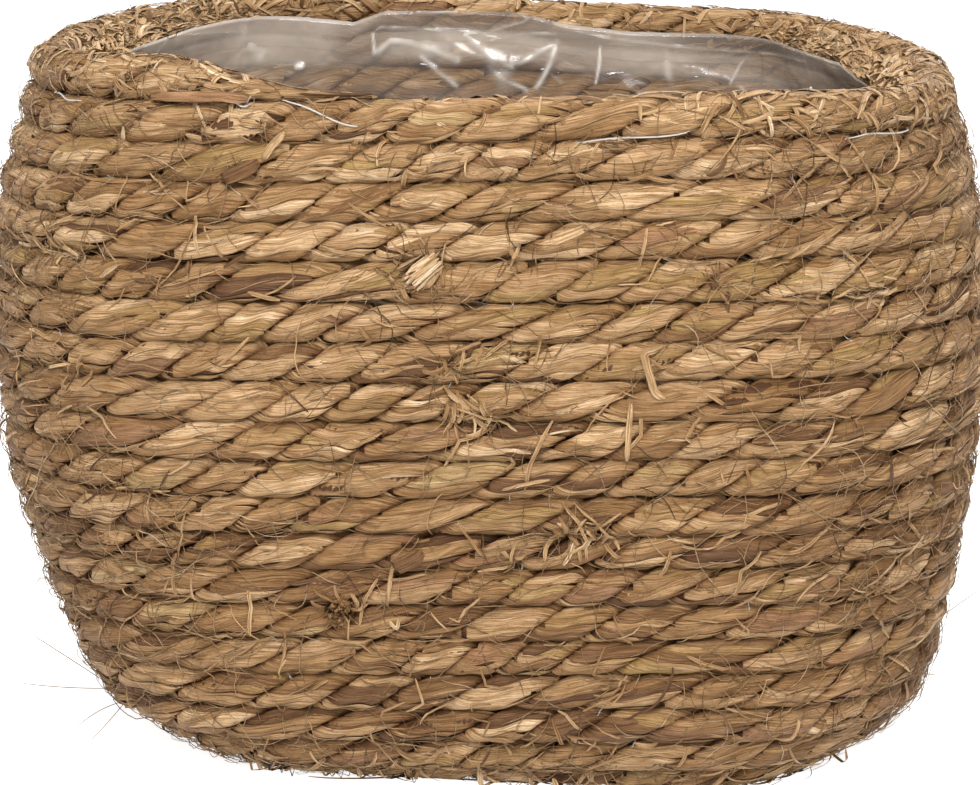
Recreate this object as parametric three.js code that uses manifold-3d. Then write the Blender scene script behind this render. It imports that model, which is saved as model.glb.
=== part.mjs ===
// Planter basket: an oblong, barrel-shaped basket coiled from twisted rush rope, with a clear liner sewn in at the rim.
// Millimetres, +Z up. The origin lies on the ground under the middle of the basket.
// +X runs along its length and -Y is its front.
// The rope starts in the middle of the base, goes round it anticlockwise seen from above, and climbs as the wall.

import * as THREE from "three";
import { mergeVertices } from "three/addons/utils/BufferGeometryUtils.js";
import Module from "manifold-3d";

const wasm = await Module();
wasm.setup();

// The rope as it lies sewn: flat where one course presses on the next, and bulging in and out between them.
const PITCH = 12;
const COURSE_GAP = 0.9;
const ROPE_HALF_THICKNESS = 6.4;
const CONTACT_HALF_WIDTH = 2.4;
const TIGHTEST_INNER_BEND = 0.2;
const BUTT_GAP = 0.6;
const UNDERSIDE_FLAT_DEPTH = 1.28;

// The outline of the wall, to the rope's centreline, at courses counted up from the foot.
const FOOT = { course: 0, halfLength: 103.9, halfDepth: 51.4 };
const HEEL = { course: 1, halfLength: 114.8, halfDepth: 62.4 };
const FLARE = { course: 2.4, halfLength: 128.4, halfDepth: 69.2 };
const LOWER_WALL = { course: 5, halfLength: 137, halfDepth: 72.6 };
const BELLY = { course: 10, halfLength: 146.7, halfDepth: 81.6 };
const SHOULDER = { course: 15, halfLength: 145, halfDepth: 82 };
const NECK = { course: 18, halfLength: 136.6, halfDepth: 83.2 };
const RIM = { course: 19.6, halfLength: 130.6, halfDepth: 82.6 };
const WALL = [FOOT, HEEL, FLARE, LOWER_WALL, BELLY, SHOULDER, NECK, RIM];
const CORNER_RADIUS = 63.6;

// The hand that made it left the long sides and the ends a little round, and the foot a little off the middle.
const SIDE_BOW = 7;
const END_BOW = 4;
const BOW_COURSES = 6;
const FOOT_OFFSET = 7;
const OFFSET_COURSES = 10;

// The rope climbs by one pitch in each turn: these are the shares of that climb in each quarter of a turn.
const SIDE_SHARE = 0.66;
const CORNER_SHARE = 0.28;
const END_SHARE = 1 - SIDE_SHARE - CORNER_SHARE;
const SIDE_STEPS = 2;
const CORNER_STOPS = [0.22, 0.44, 0.66, 0.88];

// The rope's last end tapers away on the rim, a little left of the middle of the front.
const TAIL_AROUND = -0.06;
const TAIL_TAPER_TURNS = 0.06;
const TAIL_TIP_SIZE = 0.35;

// The wall is made of several lengths of rope, each butted to the one before it.
// A joint lies so many courses below the rim, and around is counted in turns from the middle of the front.
const JOINTS = [
  { next: "wall_rope_1", coursesDown: 16, around: 0.46, color: 0x8f7048 },
  { next: "wall_rope_2", coursesDown: 13, around: -0.096, color: 0x987449 },
  { next: "wall_rope_3", coursesDown: 11, around: 0.058, color: 0xa1804f },
  { next: "wall_rope_4", coursesDown: 8, around: -0.012, color: 0xa47c50 },
  { next: "rim_rope", coursesDown: 4, around: -0.035, color: 0xad865a },
];
const BASE_JOINT_AROUND = 0.5;
const BASE_COLOR = 0x9c7a50;
const FOOT_ROPE_COLOR = 0x8a6b43;
const ROPE_ROUGHNESS = 0.9;

// The liner: a bag of clear film that lies against the rope, with a folded hem along its top.
const LINER_GAP = 0.4;
const FILM = 0.6;
const HEM_FILM = 1.5;
const HEM_WIDTH = 11;
const HEM_LEDGE = 0.8;
const HEM_ABOVE_ROPE_MIDDLE = 2;
const LINER_RINGS = 11;
const STEP_DOWN_TURNS = 0.16;
const LINER_COLOR = 0xd9dad6;
const LINER_OPACITY = 0.35;
const LINER_ROUGHNESS = 0.2;

const TINY = 1e-3;
const QUARTER = 0.25;
const START_AROUND = QUARTER;
const BASE_TURNS = FOOT.halfDepth / PITCH;
const TAIL_LAP = Math.round(BASE_TURNS + RIM.course + START_AROUND);
const LAST_TURN = TAIL_LAP + TAIL_AROUND - START_AROUND;
const FIRST_TURN = (1 - SIDE_SHARE) * QUARTER;
const FIRST_BEND = (1 + SIDE_SHARE) * QUARTER;
const BASE_HEIGHT = ROPE_HALF_THICKNESS - UNDERSIDE_FLAT_DEPTH;

// A smooth value through the stations of the wall, which leaves the flat base by one pitch for each course.
function stationValue(course, key) {
  const slope = (i) => {
    if (i === 0) return PITCH;
    const before = WALL[i - 1];
    const after = WALL[Math.min(i + 1, WALL.length - 1)];
    return (after[key] - before[key]) / (after.course - before.course);
  };
  const last = WALL.length - 1;
  if (course >= WALL[last].course) {
    return WALL[last][key] + slope(last) * (course - WALL[last].course);
  }
  const i = WALL.findIndex((station) => station.course > course) - 1;
  const span = WALL[i + 1].course - WALL[i].course;
  const f = (course - WALL[i].course) / span;
  const rise = WALL[i + 1][key] - WALL[i][key];
  const bend0 = slope(i) * span - rise;
  const bend1 = rise - slope(i + 1) * span;
  return WALL[i][key] + rise * f + f * (1 - f) * (bend0 * (1 - f) + bend1 * f);
}

function eased(value) {
  return THREE.MathUtils.smoothstep(value, 0, 1);
}

function footOffset(course) {
  return FOOT_OFFSET * (1 - eased(course / OFFSET_COURSES));
}

// Each course lies one pitch from the last along the wall's slope, so the slope sets how fast the wall climbs.
// The ends slope more than the sides, so they climb less and lie a little lower.
function climb(slope) {
  return Math.sqrt(Math.max(0, PITCH ** 2 - slope ** 2));
}

function rateOf(value, course) {
  return (value(course + TINY) - value(course)) / TINY;
}

function sideClimb(course) {
  return climb(rateOf((c) => stationValue(c, "halfDepth"), course));
}

function endClimb(course) {
  const outwards = rateOf((c) => stationValue(c, "halfLength"), course);
  const sideways = rateOf(footOffset, course);
  return climb(Math.min(Math.abs(outwards + sideways), Math.abs(outwards - sideways)));
}

const HEIGHT_STEP = 0.02;

function heightsUp(climbAt) {
  const heights = [BASE_HEIGHT];
  for (let course = 0; course < LAST_TURN - BASE_TURNS + 2; course += HEIGHT_STEP) {
    heights.push(heights[heights.length - 1] + climbAt(course + HEIGHT_STEP / 2) * HEIGHT_STEP);
  }
  return heights;
}

const SIDE_HEIGHTS = heightsUp(sideClimb);
const END_HEIGHTS = heightsUp(endClimb);

function heightAt(course, heights) {
  if (course <= 0) return BASE_HEIGHT;
  const place = course / HEIGHT_STEP;
  const i = Math.min(Math.floor(place), heights.length - 2);
  return THREE.MathUtils.lerp(heights[i], heights[i + 1], place - i);
}

// The outline at a turn counted from the middle of the base. In the base it is the foot's, drawn in by whole pitches.
function outlineAt(turn) {
  const course = turn - BASE_TURNS;
  const inset = Math.max(0, -course) * PITCH;
  const up = Math.max(0, course);
  const halfDepth = stationValue(up, "halfDepth") - inset;
  return {
    halfLength: stationValue(up, "halfLength") - inset,
    halfDepth,
    corner: Math.min(CORNER_RADIUS, halfDepth),
    bow: eased(up / BOW_COURSES),
    offset: footOffset(up),
    sideHeight: heightAt(course, SIDE_HEIGHTS),
    endHeight: heightAt(course, END_HEIGHTS),
  };
}

// A point on the middle surface of the basket. around is 0 in the middle of the front, a quarter at the right end.
function wallPoint(turn, around) {
  const o = outlineAt(turn);
  const turned = around - Math.floor(around);
  const quarter = Math.min(3, Math.floor(turned / QUARTER));
  const along = turned / QUARTER - quarter;
  const share = quarter % 2 === 0 ? along : 1 - along;
  const xSign = quarter < 2 ? 1 : -1;
  const ySign = quarter === 0 || quarter === 3 ? -1 : 1;
  const turnedCorner = THREE.MathUtils.clamp((share - SIDE_SHARE) / CORNER_SHARE, 0, 1);
  const angle = (turnedCorner * Math.PI) / 2;
  let x = o.halfLength - o.corner * (1 - Math.sin(angle));
  let y = o.halfDepth - o.corner * (1 - Math.cos(angle));
  if (share < SIDE_SHARE) {
    x = ((o.halfLength - o.corner) * share) / SIDE_SHARE;
  } else if (share > SIDE_SHARE + CORNER_SHARE) {
    y = ((o.halfDepth - o.corner) * (1 - share)) / END_SHARE;
  }
  if (o.bow > 0) {
    const towardsEnd = x / o.halfLength;
    const towardsSide = y / o.halfDepth;
    x += END_BOW * o.bow * (1 - towardsSide ** 2) * towardsEnd ** 2;
    y += SIDE_BOW * o.bow * (1 - towardsEnd ** 2) * towardsSide;
  }
  const height = THREE.MathUtils.lerp(o.sideHeight, o.endHeight, Math.sin(angle) ** 2);
  return new THREE.Vector3(xSign * x + o.offset, ySign * y, height);
}

function aroundOf(turn) {
  return turn + START_AROUND;
}

function ropePoint(turn) {
  return wallPoint(turn, aroundOf(turn));
}

// The directions at a point of the wall: up the wall's slope, and out of it, square to the way that something runs.
function directions(turn, around, along) {
  const up = wallPoint(turn + TINY, around).sub(wallPoint(turn - TINY, around));
  up.addScaledVector(along, -up.dot(along)).normalize();
  const out = new THREE.Vector3().crossVectors(along, up);
  return { up, out };
}

// The foot's ends are full half circles, with no straight between, so a direction is taken over more than that share.
const NEAR = 1.2 * END_SHARE * QUARTER;

function ropeDirection(turn) {
  return ropePoint(turn + NEAR).sub(ropePoint(turn - NEAR)).normalize();
}

function levelDirection(turn, around) {
  return wallPoint(turn, around + NEAR).sub(wallPoint(turn, around - NEAR)).normalize();
}

// How far the rope reaches towards the course above, side 1, or below, side -1.
// Where the wall bends, the courses press on each other with an edge, so they are a little flatter there.
// The first strand has no course inside it, only itself across the middle of the base.
function reachTowards(turn, side) {
  const around = aroundOf(turn);
  const free = PITCH / 2 - COURSE_GAP / 2;
  if (turn + side < 0) {
    return turn < FIRST_BEND - TINY ? free : Math.min(free, outlineAt(turn).corner - TIGHTEST_INNER_BEND);
  }
  const along = levelDirection(turn, around);
  const here = directions(turn, around, along).up;
  const there = directions(turn + side, around, levelDirection(turn + side, around)).up;
  const step = wallPoint(turn + side, around).sub(wallPoint(turn, around));
  const spacing = step.addScaledVector(along, -step.dot(along)).length();
  const bend = CONTACT_HALF_WIDTH * Math.tan(here.angleTo(there) / 2);
  return Math.min(PITCH / 2, spacing / 2 - COURSE_GAP / 2 - bend);
}

function ropeRing(turn) {
  const { up, out } = directions(turn, aroundOf(turn), ropeDirection(turn));
  const left = THREE.MathUtils.clamp((LAST_TURN - turn) / TAIL_TAPER_TURNS, 0, 1);
  const size = THREE.MathUtils.lerp(TAIL_TIP_SIZE, 1, left);
  const above = reachTowards(turn, 1);
  const below = reachTowards(turn, -1);
  const section = [
    [above, CONTACT_HALF_WIDTH],
    [0, ROPE_HALF_THICKNESS],
    [-below, CONTACT_HALF_WIDTH],
    [-below, -CONTACT_HALF_WIDTH],
    [0, -ROPE_HALF_THICKNESS],
    [above, -CONTACT_HALF_WIDTH],
  ];
  const centre = ropePoint(turn).addScaledVector(up, (size - 1) * below);
  return section.map(([u, o]) =>
    centre.clone().addScaledVector(up, u * size).addScaledVector(out, o * size),
  );
}

// A closed solid through rings of points, each ring turning by the right hand about the way that the rings go.
function loft(rings) {
  const count = rings[0].length;
  const index = [];
  for (let i = 0; i + 1 < rings.length; i++) {
    for (let j = 0; j < count; j++) {
      const a = i * count + j;
      const b = i * count + ((j + 1) % count);
      index.push(a, b, b + count, a, b + count, a + count);
    }
  }
  const end = (rings.length - 1) * count;
  for (let j = 1; j + 1 < count; j++) {
    index.push(0, j + 1, j);
    index.push(end, end + j, end + j + 1);
  }
  const geometry = new THREE.BufferGeometry().setFromPoints(rings.flat());
  geometry.setIndex(index);
  return geometry;
}

function toSolid(geometry) {
  const bare = geometry.clone();
  bare.deleteAttribute("normal");
  bare.deleteAttribute("uv");
  const merged = mergeVertices(bare, TINY);
  return new wasm.Manifold(
    new wasm.Mesh({
      numProp: 3,
      vertProperties: merged.attributes.position.array,
      triVerts: new Uint32Array(merged.index.array),
    }),
  );
}

function toGeometry(solid) {
  const mesh = solid.getMesh();
  const geometry = new THREE.BufferGeometry();
  geometry.setAttribute("position", new THREE.BufferAttribute(mesh.vertProperties, 3));
  geometry.setIndex(new THREE.BufferAttribute(mesh.triVerts, 1));
  geometry.computeVertexNormals();
  return geometry;
}

// The places round one turn where the rope's facets meet, close together in the corners.
const QUARTER_STOPS = [];
for (let i = 0; i <= SIDE_STEPS; i++) {
  QUARTER_STOPS.push((SIDE_SHARE * i) / SIDE_STEPS);
}
for (const stop of CORNER_STOPS) {
  QUARTER_STOPS.push(SIDE_SHARE + CORNER_SHARE * stop);
}
const AROUND_STOPS = [];
for (let half = 0; half < 2; half++) {
  const forwards = QUARTER_STOPS.map((stop) => (stop * QUARTER) + half / 2);
  const backwards = [1, ...QUARTER_STOPS.slice(1).reverse()];
  AROUND_STOPS.push(...forwards, ...backwards.map((stop) => (2 - stop) * QUARTER + half / 2));
}

function turnStops(from, to) {
  const closest = 0.004;
  const stops = [from];
  for (let whole = Math.floor(from) - 1; whole <= to + 1; whole++) {
    for (const around of AROUND_STOPS) {
      const turn = whole + around - START_AROUND;
      if (turn > from + closest && turn < to - closest) stops.push(turn);
    }
  }
  stops.push(to);
  return stops;
}

// Half of the gap between two butted ends, in turns.
function halfButt(turn) {
  const speed = ropePoint(turn + TINY).distanceTo(ropePoint(turn - TINY)) / (2 * TINY);
  return BUTT_GAP / 2 / speed;
}

// The least gap from a wound rope to itself: from each of its points to the edges that run along the next turn.
function leastSelfGap(rings) {
  const perTurn = AROUND_STOPS.length;
  const edge = new THREE.Line3();
  const nearest = new THREE.Vector3();
  let least = Infinity;
  for (let i = 0; i < rings.length; i++) {
    const last = Math.min(i + perTurn + 2, rings.length - 1);
    for (let k = i + perTurn - 2; k < last; k++) {
      for (const point of rings[i]) {
        for (let j = 0; j < rings[k].length; j++) {
          edge.set(rings[k][j], rings[k + 1][j]);
          edge.closestPointToPoint(point, true, nearest);
          least = Math.min(least, nearest.distanceTo(point));
        }
      }
    }
  }
  return least;
}

const basket = new THREE.Group();

function addPiece(name, geometry, material) {
  const mesh = new THREE.Mesh(geometry, material);
  mesh.name = name;
  basket.add(mesh);
}

function ropeMaterial(color) {
  return new THREE.MeshStandardMaterial({ color, roughness: ROPE_ROUGHNESS, metalness: 0 });
}

function jointTurn(joint) {
  return TAIL_LAP - joint.coursesDown + joint.around - START_AROUND;
}

// The base is cut flat underneath, so that it stands on all of its strands.
const groundBlock = new THREE.BoxGeometry(4 * BELLY.halfLength, 4 * BELLY.halfDepth, 2 * PITCH);
groundBlock.translate(0, 0, -PITCH);
const ground = toSolid(groundBlock);

function ropePiece(name, from, to, color) {
  const rings = turnStops(from, to).map(ropeRing);
  const gap = leastSelfGap(rings);
  if (Number.isFinite(gap)) {
    console.log(`${name}: least gap to itself ${gap.toFixed(2)} mm`);
  }
  const solid = toSolid(loft(rings)).subtract(ground);
  addPiece(name, toGeometry(solid), ropeMaterial(color));
}

// The base ends at the back, one strand after the foot's outline is reached.
const baseLap = Math.ceil(BASE_TURNS + START_AROUND - BASE_JOINT_AROUND);
const baseEnd = baseLap + BASE_JOINT_AROUND - START_AROUND;
const pieces = [
  { name: "base_coil", from: FIRST_TURN, color: BASE_COLOR },
  { name: "foot_rope", from: baseEnd, color: FOOT_ROPE_COLOR },
  ...JOINTS.map((joint) => ({ name: joint.next, from: jointTurn(joint), color: joint.color })),
];
pieces.forEach((piece, i) => {
  const from = i === 0 ? piece.from : piece.from + halfButt(piece.from);
  const end = i + 1 < pieces.length ? pieces[i + 1].from : LAST_TURN;
  const to = i + 1 < pieces.length ? end - halfButt(end) : end;
  ropePiece(piece.name, from, to, piece.color);
});

// The liner's top follows the rim course round, and steps down by one course near the rope's tail.
function linerTopTurn(around) {
  const past = around - TAIL_AROUND - Math.floor(around - TAIL_AROUND);
  const climbed = Math.min(past, ((1 - past) / STEP_DOWN_TURNS) * (1 - STEP_DOWN_TURNS));
  return LAST_TURN - 1 + climbed;
}

// A ring of the liner, level with a share of the way up to its top, at a depth inside the rope's middle surface.
function linerRing(share, below, depth) {
  return AROUND_STOPS.map((around) => {
    const top = linerTopTurn(around) + (HEM_ABOVE_ROPE_MIDDLE - below) / PITCH;
    const turn = THREE.MathUtils.lerp(BASE_TURNS, top, share);
    const { out } = directions(turn, around, levelDirection(turn, around));
    return wallPoint(turn, around).addScaledVector(out, -depth);
  });
}

const outside = ROPE_HALF_THICKNESS + LINER_GAP;
const bag = [];
for (let i = 0; i < LINER_RINGS; i++) {
  const share = (i / LINER_RINGS) ** 1.5;
  bag.push({ share, below: HEM_WIDTH + HEM_LEDGE });
}
const linerRings = [
  ...bag.map(({ share, below }) => linerRing(share, below, outside)),
  linerRing(1, 0, outside),
  linerRing(1, 0, outside + HEM_FILM),
  linerRing(1, HEM_WIDTH, outside + HEM_FILM),
  linerRing(1, HEM_WIDTH + HEM_LEDGE, outside + FILM),
  ...bag.reverse().map(({ share, below }) => linerRing(share, below, outside + FILM)),
];
addPiece(
  "liner",
  toGeometry(toSolid(loft(linerRings))),
  new THREE.MeshStandardMaterial({
    color: LINER_COLOR,
    roughness: LINER_ROUGHNESS,
    metalness: 0,
    transparent: true,
    opacity: LINER_OPACITY,
    side: THREE.DoubleSide,
  }),
);

// The foot lies off the middle and the belly does not, so the whole is centred over the origin by its widest course.
const reach = new THREE.Box3().setFromObject(basket);
const middle = reach.getCenter(new THREE.Vector3());
basket.children.forEach((piece) => piece.geometry.translate(-middle.x, -middle.y, 0));

export default basket;
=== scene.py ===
# Looks for the planter basket: two-ply straw rope, its loose straws, the stitches and the clear liner.
# Lengths in the formulas are millimetres, and metres in Blender.

import math

import bpy
import numpy as np
from mathutils import Matrix, Vector


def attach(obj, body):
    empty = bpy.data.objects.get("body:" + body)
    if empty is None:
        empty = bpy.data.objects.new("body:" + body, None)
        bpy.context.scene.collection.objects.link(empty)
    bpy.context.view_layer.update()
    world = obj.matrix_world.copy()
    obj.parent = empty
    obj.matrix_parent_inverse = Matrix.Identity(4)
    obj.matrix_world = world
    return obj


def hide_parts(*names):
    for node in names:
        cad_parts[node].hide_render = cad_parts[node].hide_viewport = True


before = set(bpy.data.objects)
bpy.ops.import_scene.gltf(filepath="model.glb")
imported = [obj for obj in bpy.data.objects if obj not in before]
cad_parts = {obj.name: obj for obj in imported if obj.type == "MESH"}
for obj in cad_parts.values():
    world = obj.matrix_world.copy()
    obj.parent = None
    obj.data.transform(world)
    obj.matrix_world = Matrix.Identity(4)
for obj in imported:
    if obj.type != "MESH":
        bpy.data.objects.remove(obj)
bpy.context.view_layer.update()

MM = 0.001
TWO_PI = 2 * math.pi

# The photograph's camera: how far it stands, how high it looks down from, and where it aims.
CAMERA_DISTANCE = 0.97904
CAMERA_ELEVATION = 14.5085
CAMERA_AZIMUTH = 4.0651
CAMERA_ROLL = 0.3049
CAMERA_AIM_HEIGHT = 0.1109
CAMERA_LENS = 110.3


def make_camera():
    elevation = math.radians(CAMERA_ELEVATION)
    azimuth = math.radians(CAMERA_AZIMUTH)
    aim = Vector((0, 0, CAMERA_AIM_HEIGHT))
    level = CAMERA_DISTANCE * math.cos(elevation)
    place = aim + Vector((
        level * math.sin(azimuth),
        -level * math.cos(azimuth),
        CAMERA_DISTANCE * math.sin(elevation),
    ))
    data = bpy.data.cameras.new("camera")
    data.sensor_fit = "HORIZONTAL"
    data.sensor_width = 36
    data.lens = CAMERA_LENS
    data.clip_start = 0.01
    data.clip_end = 50
    camera = bpy.data.objects.new("camera", data)
    turned = (aim - place).to_track_quat("-Z", "Y").to_matrix().to_4x4()
    camera.matrix_world = (
        Matrix.Translation(place) @ turned @ Matrix.Rotation(math.radians(CAMERA_ROLL), 4, "Z")
    )
    bpy.context.scene.collection.objects.link(camera)
    bpy.context.scene.camera = camera


make_camera()

# The rope's path, by the same sizes and formulas as the solids. A turn is one time round the basket, counted
# from the middle of the base. around is the place on it: 0 in the middle of the front, 0.25 at the right end
# and 0.5 in the middle of the back. A course is a turn of the wall, counted from where the wall starts.
PITCH = 12.0
# The course, half length and half depth of each station up the wall.
STATIONS = np.array([
    [0.0, 103.9, 51.4],
    [1.0, 114.8, 62.4],
    [2.4, 128.4, 69.2],
    [5.0, 137.0, 72.6],
    [10.0, 146.7, 81.6],
    [15.0, 145.0, 82.0],
    [18.0, 136.6, 83.2],
    [19.6, 130.6, 82.6],
])
HALF_LENGTH = 1
HALF_DEPTH = 2
CORNER_RADIUS = 63.6
SIDE_BOW = 7.0
END_BOW = 4.0
BOW_COURSES = 6.0
FOOT_OFFSET = 7.0
OFFSET_COURSES = 10.0
SIDE_SHARE = 0.66
CORNER_SHARE = 0.28
END_SHARE = 1 - SIDE_SHARE - CORNER_SHARE
START_AROUND = 0.25
TAIL_AROUND = -0.06
TAIL_TAPER_TURNS = 0.12
TAIL_TIP_SIZE = 0.14
ROPE_HALF_THICKNESS = 6.4
FLATTENED = 1.28
BASE_HEIGHT = ROPE_HALF_THICKNESS - FLATTENED
BASE_TURNS = STATIONS[0, HALF_DEPTH] / PITCH
TAIL_LAP = round(BASE_TURNS + STATIONS[-1, 0] + START_AROUND)
LAST_TURN = TAIL_LAP + TAIL_AROUND - START_AROUND
FIRST_TURN = (1 - SIDE_SHARE) * 0.25
BASE_JOINT_AROUND = 0.5
TINY = 1e-3
HEIGHT_STEP = 0.02


def station_value(course, column):
    at = STATIONS[:, 0]
    value = STATIONS[:, column]
    last = len(at) - 1
    slope = np.empty(last + 1)
    slope[0] = PITCH
    for i in range(1, last + 1):
        after = min(i + 1, last)
        slope[i] = (value[after] - value[i - 1]) / (at[after] - at[i - 1])
    i = np.clip(np.searchsorted(at, course, side="right") - 1, 0, last - 1)
    span = at[i + 1] - at[i]
    f = (course - at[i]) / span
    rise = value[i + 1] - value[i]
    bend0 = slope[i] * span - rise
    bend1 = rise - slope[i + 1] * span
    inside = value[i] + rise * f + f * (1 - f) * (bend0 * (1 - f) + bend1 * f)
    return np.where(course >= at[last], value[last] + slope[last] * (course - at[last]), inside)


def eased(value):
    value = np.clip(value, 0, 1)
    return value * value * (3 - 2 * value)


def bend(value, low, high):
    return eased((value - low) / (high - low))


def rising(low, share):
    """From low, where share is 0, to 1, where it is 1."""
    return low + (1 - low) * share


def foot_offset(course):
    return FOOT_OFFSET * (1 - eased(course / OFFSET_COURSES))


def heights_up(slope):
    """The steeper the wall, the faster its courses climb."""
    climb = np.sqrt(np.maximum(0, PITCH**2 - slope**2))
    return np.concatenate([[BASE_HEIGHT], BASE_HEIGHT + np.cumsum(climb) * HEIGHT_STEP])


def rate_of(value, courses):
    return (value(courses + TINY) - value(courses)) / TINY


def wall_heights():
    courses = np.arange(0, LAST_TURN - BASE_TURNS + 2, HEIGHT_STEP) + HEIGHT_STEP / 2
    outwards = rate_of(lambda course: station_value(course, HALF_LENGTH), courses)
    sideways = rate_of(foot_offset, courses)
    forwards = rate_of(lambda course: station_value(course, HALF_DEPTH), courses)
    at_end = np.minimum(abs(outwards + sideways), abs(outwards - sideways))
    return heights_up(forwards), heights_up(at_end)



SIDE_HEIGHTS, END_HEIGHTS = wall_heights()


def height_at(course, heights):
    return np.interp(np.maximum(course, 0) / HEIGHT_STEP, np.arange(len(heights)), heights)


def wall_point(turn, around):
    """A point on the basket's middle surface, as in the solids. around is 0 in the middle of the front."""
    turn, around = np.broadcast_arrays(np.asarray(turn, float), np.asarray(around, float))
    course = turn - BASE_TURNS
    inset = np.maximum(0, -course) * PITCH
    up = np.maximum(0, course)
    half_depth = station_value(up, HALF_DEPTH) - inset
    half_length = station_value(up, HALF_LENGTH) - inset
    corner = np.minimum(CORNER_RADIUS, half_depth)
    turned = around - np.floor(around)
    quarter = np.minimum(3, np.floor(turned * 4))
    along = turned * 4 - quarter
    share = np.where(quarter % 2 == 0, along, 1 - along)
    x_sign = np.where(quarter < 2, 1, -1)
    y_sign = np.where((quarter == 0) | (quarter == 3), -1, 1)
    angle = np.clip((share - SIDE_SHARE) / CORNER_SHARE, 0, 1) * math.pi / 2
    on_side = share < SIDE_SHARE
    on_corner = share < SIDE_SHARE + CORNER_SHARE
    x = np.where(on_corner, half_length - corner * (1 - np.sin(angle)), half_length)
    x = np.where(on_side, (half_length - corner) * share / SIDE_SHARE, x)
    end_y = (half_depth - corner) * (1 - share) / END_SHARE
    y = np.where(on_corner, half_depth - corner * (1 - np.cos(angle)), end_y)
    y = np.where(on_side, half_depth, y)
    bow = eased(up / BOW_COURSES)
    towards_end = x / half_length
    towards_side = y / np.where(abs(half_depth) < TINY, 1, half_depth)
    x = x + END_BOW * bow * (1 - towards_side**2) * towards_end**2
    y = y + SIDE_BOW * bow * (1 - towards_end**2) * towards_side
    at_side = height_at(course, SIDE_HEIGHTS)
    at_end = height_at(course, END_HEIGHTS)
    z = at_side + (at_end - at_side) * np.sin(angle) ** 2
    return np.stack([x_sign * x + foot_offset(up), y_sign * y, z], -1)


def unit(vectors):
    return vectors / np.maximum(np.linalg.norm(vectors, axis=-1, keepdims=True), 1e-9)


def dot(a, b):
    return (a * b).sum(-1, keepdims=True)


def smoothed(values, width):
    kernel = np.hanning(2 * width + 1)[1:-1]
    kernel /= kernel.sum()
    pad = len(kernel) // 2
    padded = np.pad(values, [(pad, pad)] + [(0, 0)] * (values.ndim - 1), mode="edge")
    return np.stack([np.convolve(padded[:, i], kernel, mode="valid") for i in range(values.shape[1])], -1)


class RopeTable:
    """Places, directions and room of the whole rope, tabled along its length in millimetres."""

    STEP = 0.0007
    PLACE_SMOOTHING = 4
    DIRECTION_SMOOTHING = 10
    ROOM_SMOOTHING = 12
    MOST_ROOM = 1.25 * PITCH / 2

    def __init__(self):
        turn = np.arange(FIRST_TURN, LAST_TURN, self.STEP)
        around = turn + START_AROUND
        place = wall_point(turn, around)
        self.turn = turn
        self.place = smoothed(place, self.PLACE_SMOOTHING)
        steps = np.linalg.norm(np.diff(self.place, axis=0), axis=1)
        self.s = np.concatenate([[0], np.cumsum(steps)])
        self.length = self.s[-1]
        along = unit(smoothed(np.gradient(self.place, axis=0), self.DIRECTION_SMOOTHING))
        up = wall_point(turn + TINY, around) - wall_point(turn - TINY, around)
        up = smoothed(unit(up), self.DIRECTION_SMOOTHING)
        up = unit(up - along * dot(up, along))
        self.along = along
        self.up = up
        self.out = np.cross(along, up)
        self.room_above = self.room(turn, around, 1)
        self.room_below = self.room(turn, around, -1)

    def room(self, turn, around, side):
        """Half the way from each place to the course above or below it."""
        step = wall_point(turn + side, around) - wall_point(turn, around)
        step = step - self.along * dot(step, self.along)
        half = np.linalg.norm(step, axis=1) / 2
        free = (turn + side < 0) | (turn + side > LAST_TURN)
        half = np.where(free, PITCH / 2, np.minimum(half, self.MOST_ROOM))
        return smoothed(half[:, None], self.ROOM_SMOOTHING)[:, 0]

    def at(self, s, name):
        values = getattr(self, name)
        if values.ndim == 1:
            return np.interp(s, self.s, values)
        return np.stack([np.interp(s, self.s, values[:, i]) for i in range(3)], -1)

    def s_of_turn(self, turn):
        return float(np.interp(turn, self.turn, self.s))


rope = RopeTable()


def turn_at(courses_down, around):
    return TAIL_LAP - courses_down + around - START_AROUND


BASE_END = math.ceil(BASE_TURNS + START_AROUND - BASE_JOINT_AROUND) + BASE_JOINT_AROUND - START_AROUND
# Each rope length of the solids, and the turn where it begins.
ROPE_LENGTHS = [
    ("base_coil", FIRST_TURN),
    ("foot_rope", BASE_END),
    ("wall_rope_1", turn_at(16, 0.46)),
    ("wall_rope_2", turn_at(13, -0.096)),
    ("wall_rope_3", turn_at(11, 0.058)),
    ("wall_rope_4", turn_at(8, -0.012)),
    ("rim_rope", turn_at(4, -0.035)),
]


# A smooth curve that follows random knots varies less than they do, which this makes up for.
KNOT_GAIN = 1.35


def wander(rng, length, step, size):
    """A smooth random function of the distance along the rope."""
    knots = rng.normal(0, size * KNOT_GAIN, int(length / step) + 8)

    def at(s):
        x = np.clip(np.asarray(s, float) / step + 1, 0, len(knots) - 4)
        i = np.floor(x).astype(int)
        f = x - i
        return (
            knots[i] * (1 - f) ** 3
            + knots[i + 1] * (3 * f**3 - 6 * f**2 + 4)
            + knots[i + 2] * (-3 * f**3 + 3 * f**2 + 3 * f + 1)
            + knots[i + 3] * f**3
        ) / 6

    return at


# The rope's make: two plies laid round each other, each a bundle of flat leaves.
PLY_PITCH = 43.0
PLY_OFFSET = 2.9
PLY_RADIAL = 3.3
PLY_ACROSS = 5.5
PLY_SQUARENESS = 2.6
ROPE_ROUND_LIMIT = 6.9
ROUND_SHARPNESS = 9
COURSE_PRESS = 1.03
LEAVES = 7
LEAF_SLANT = -0.28
RING_STEP = 1.7
HIDDEN_ANGLE = math.radians(138)

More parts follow.
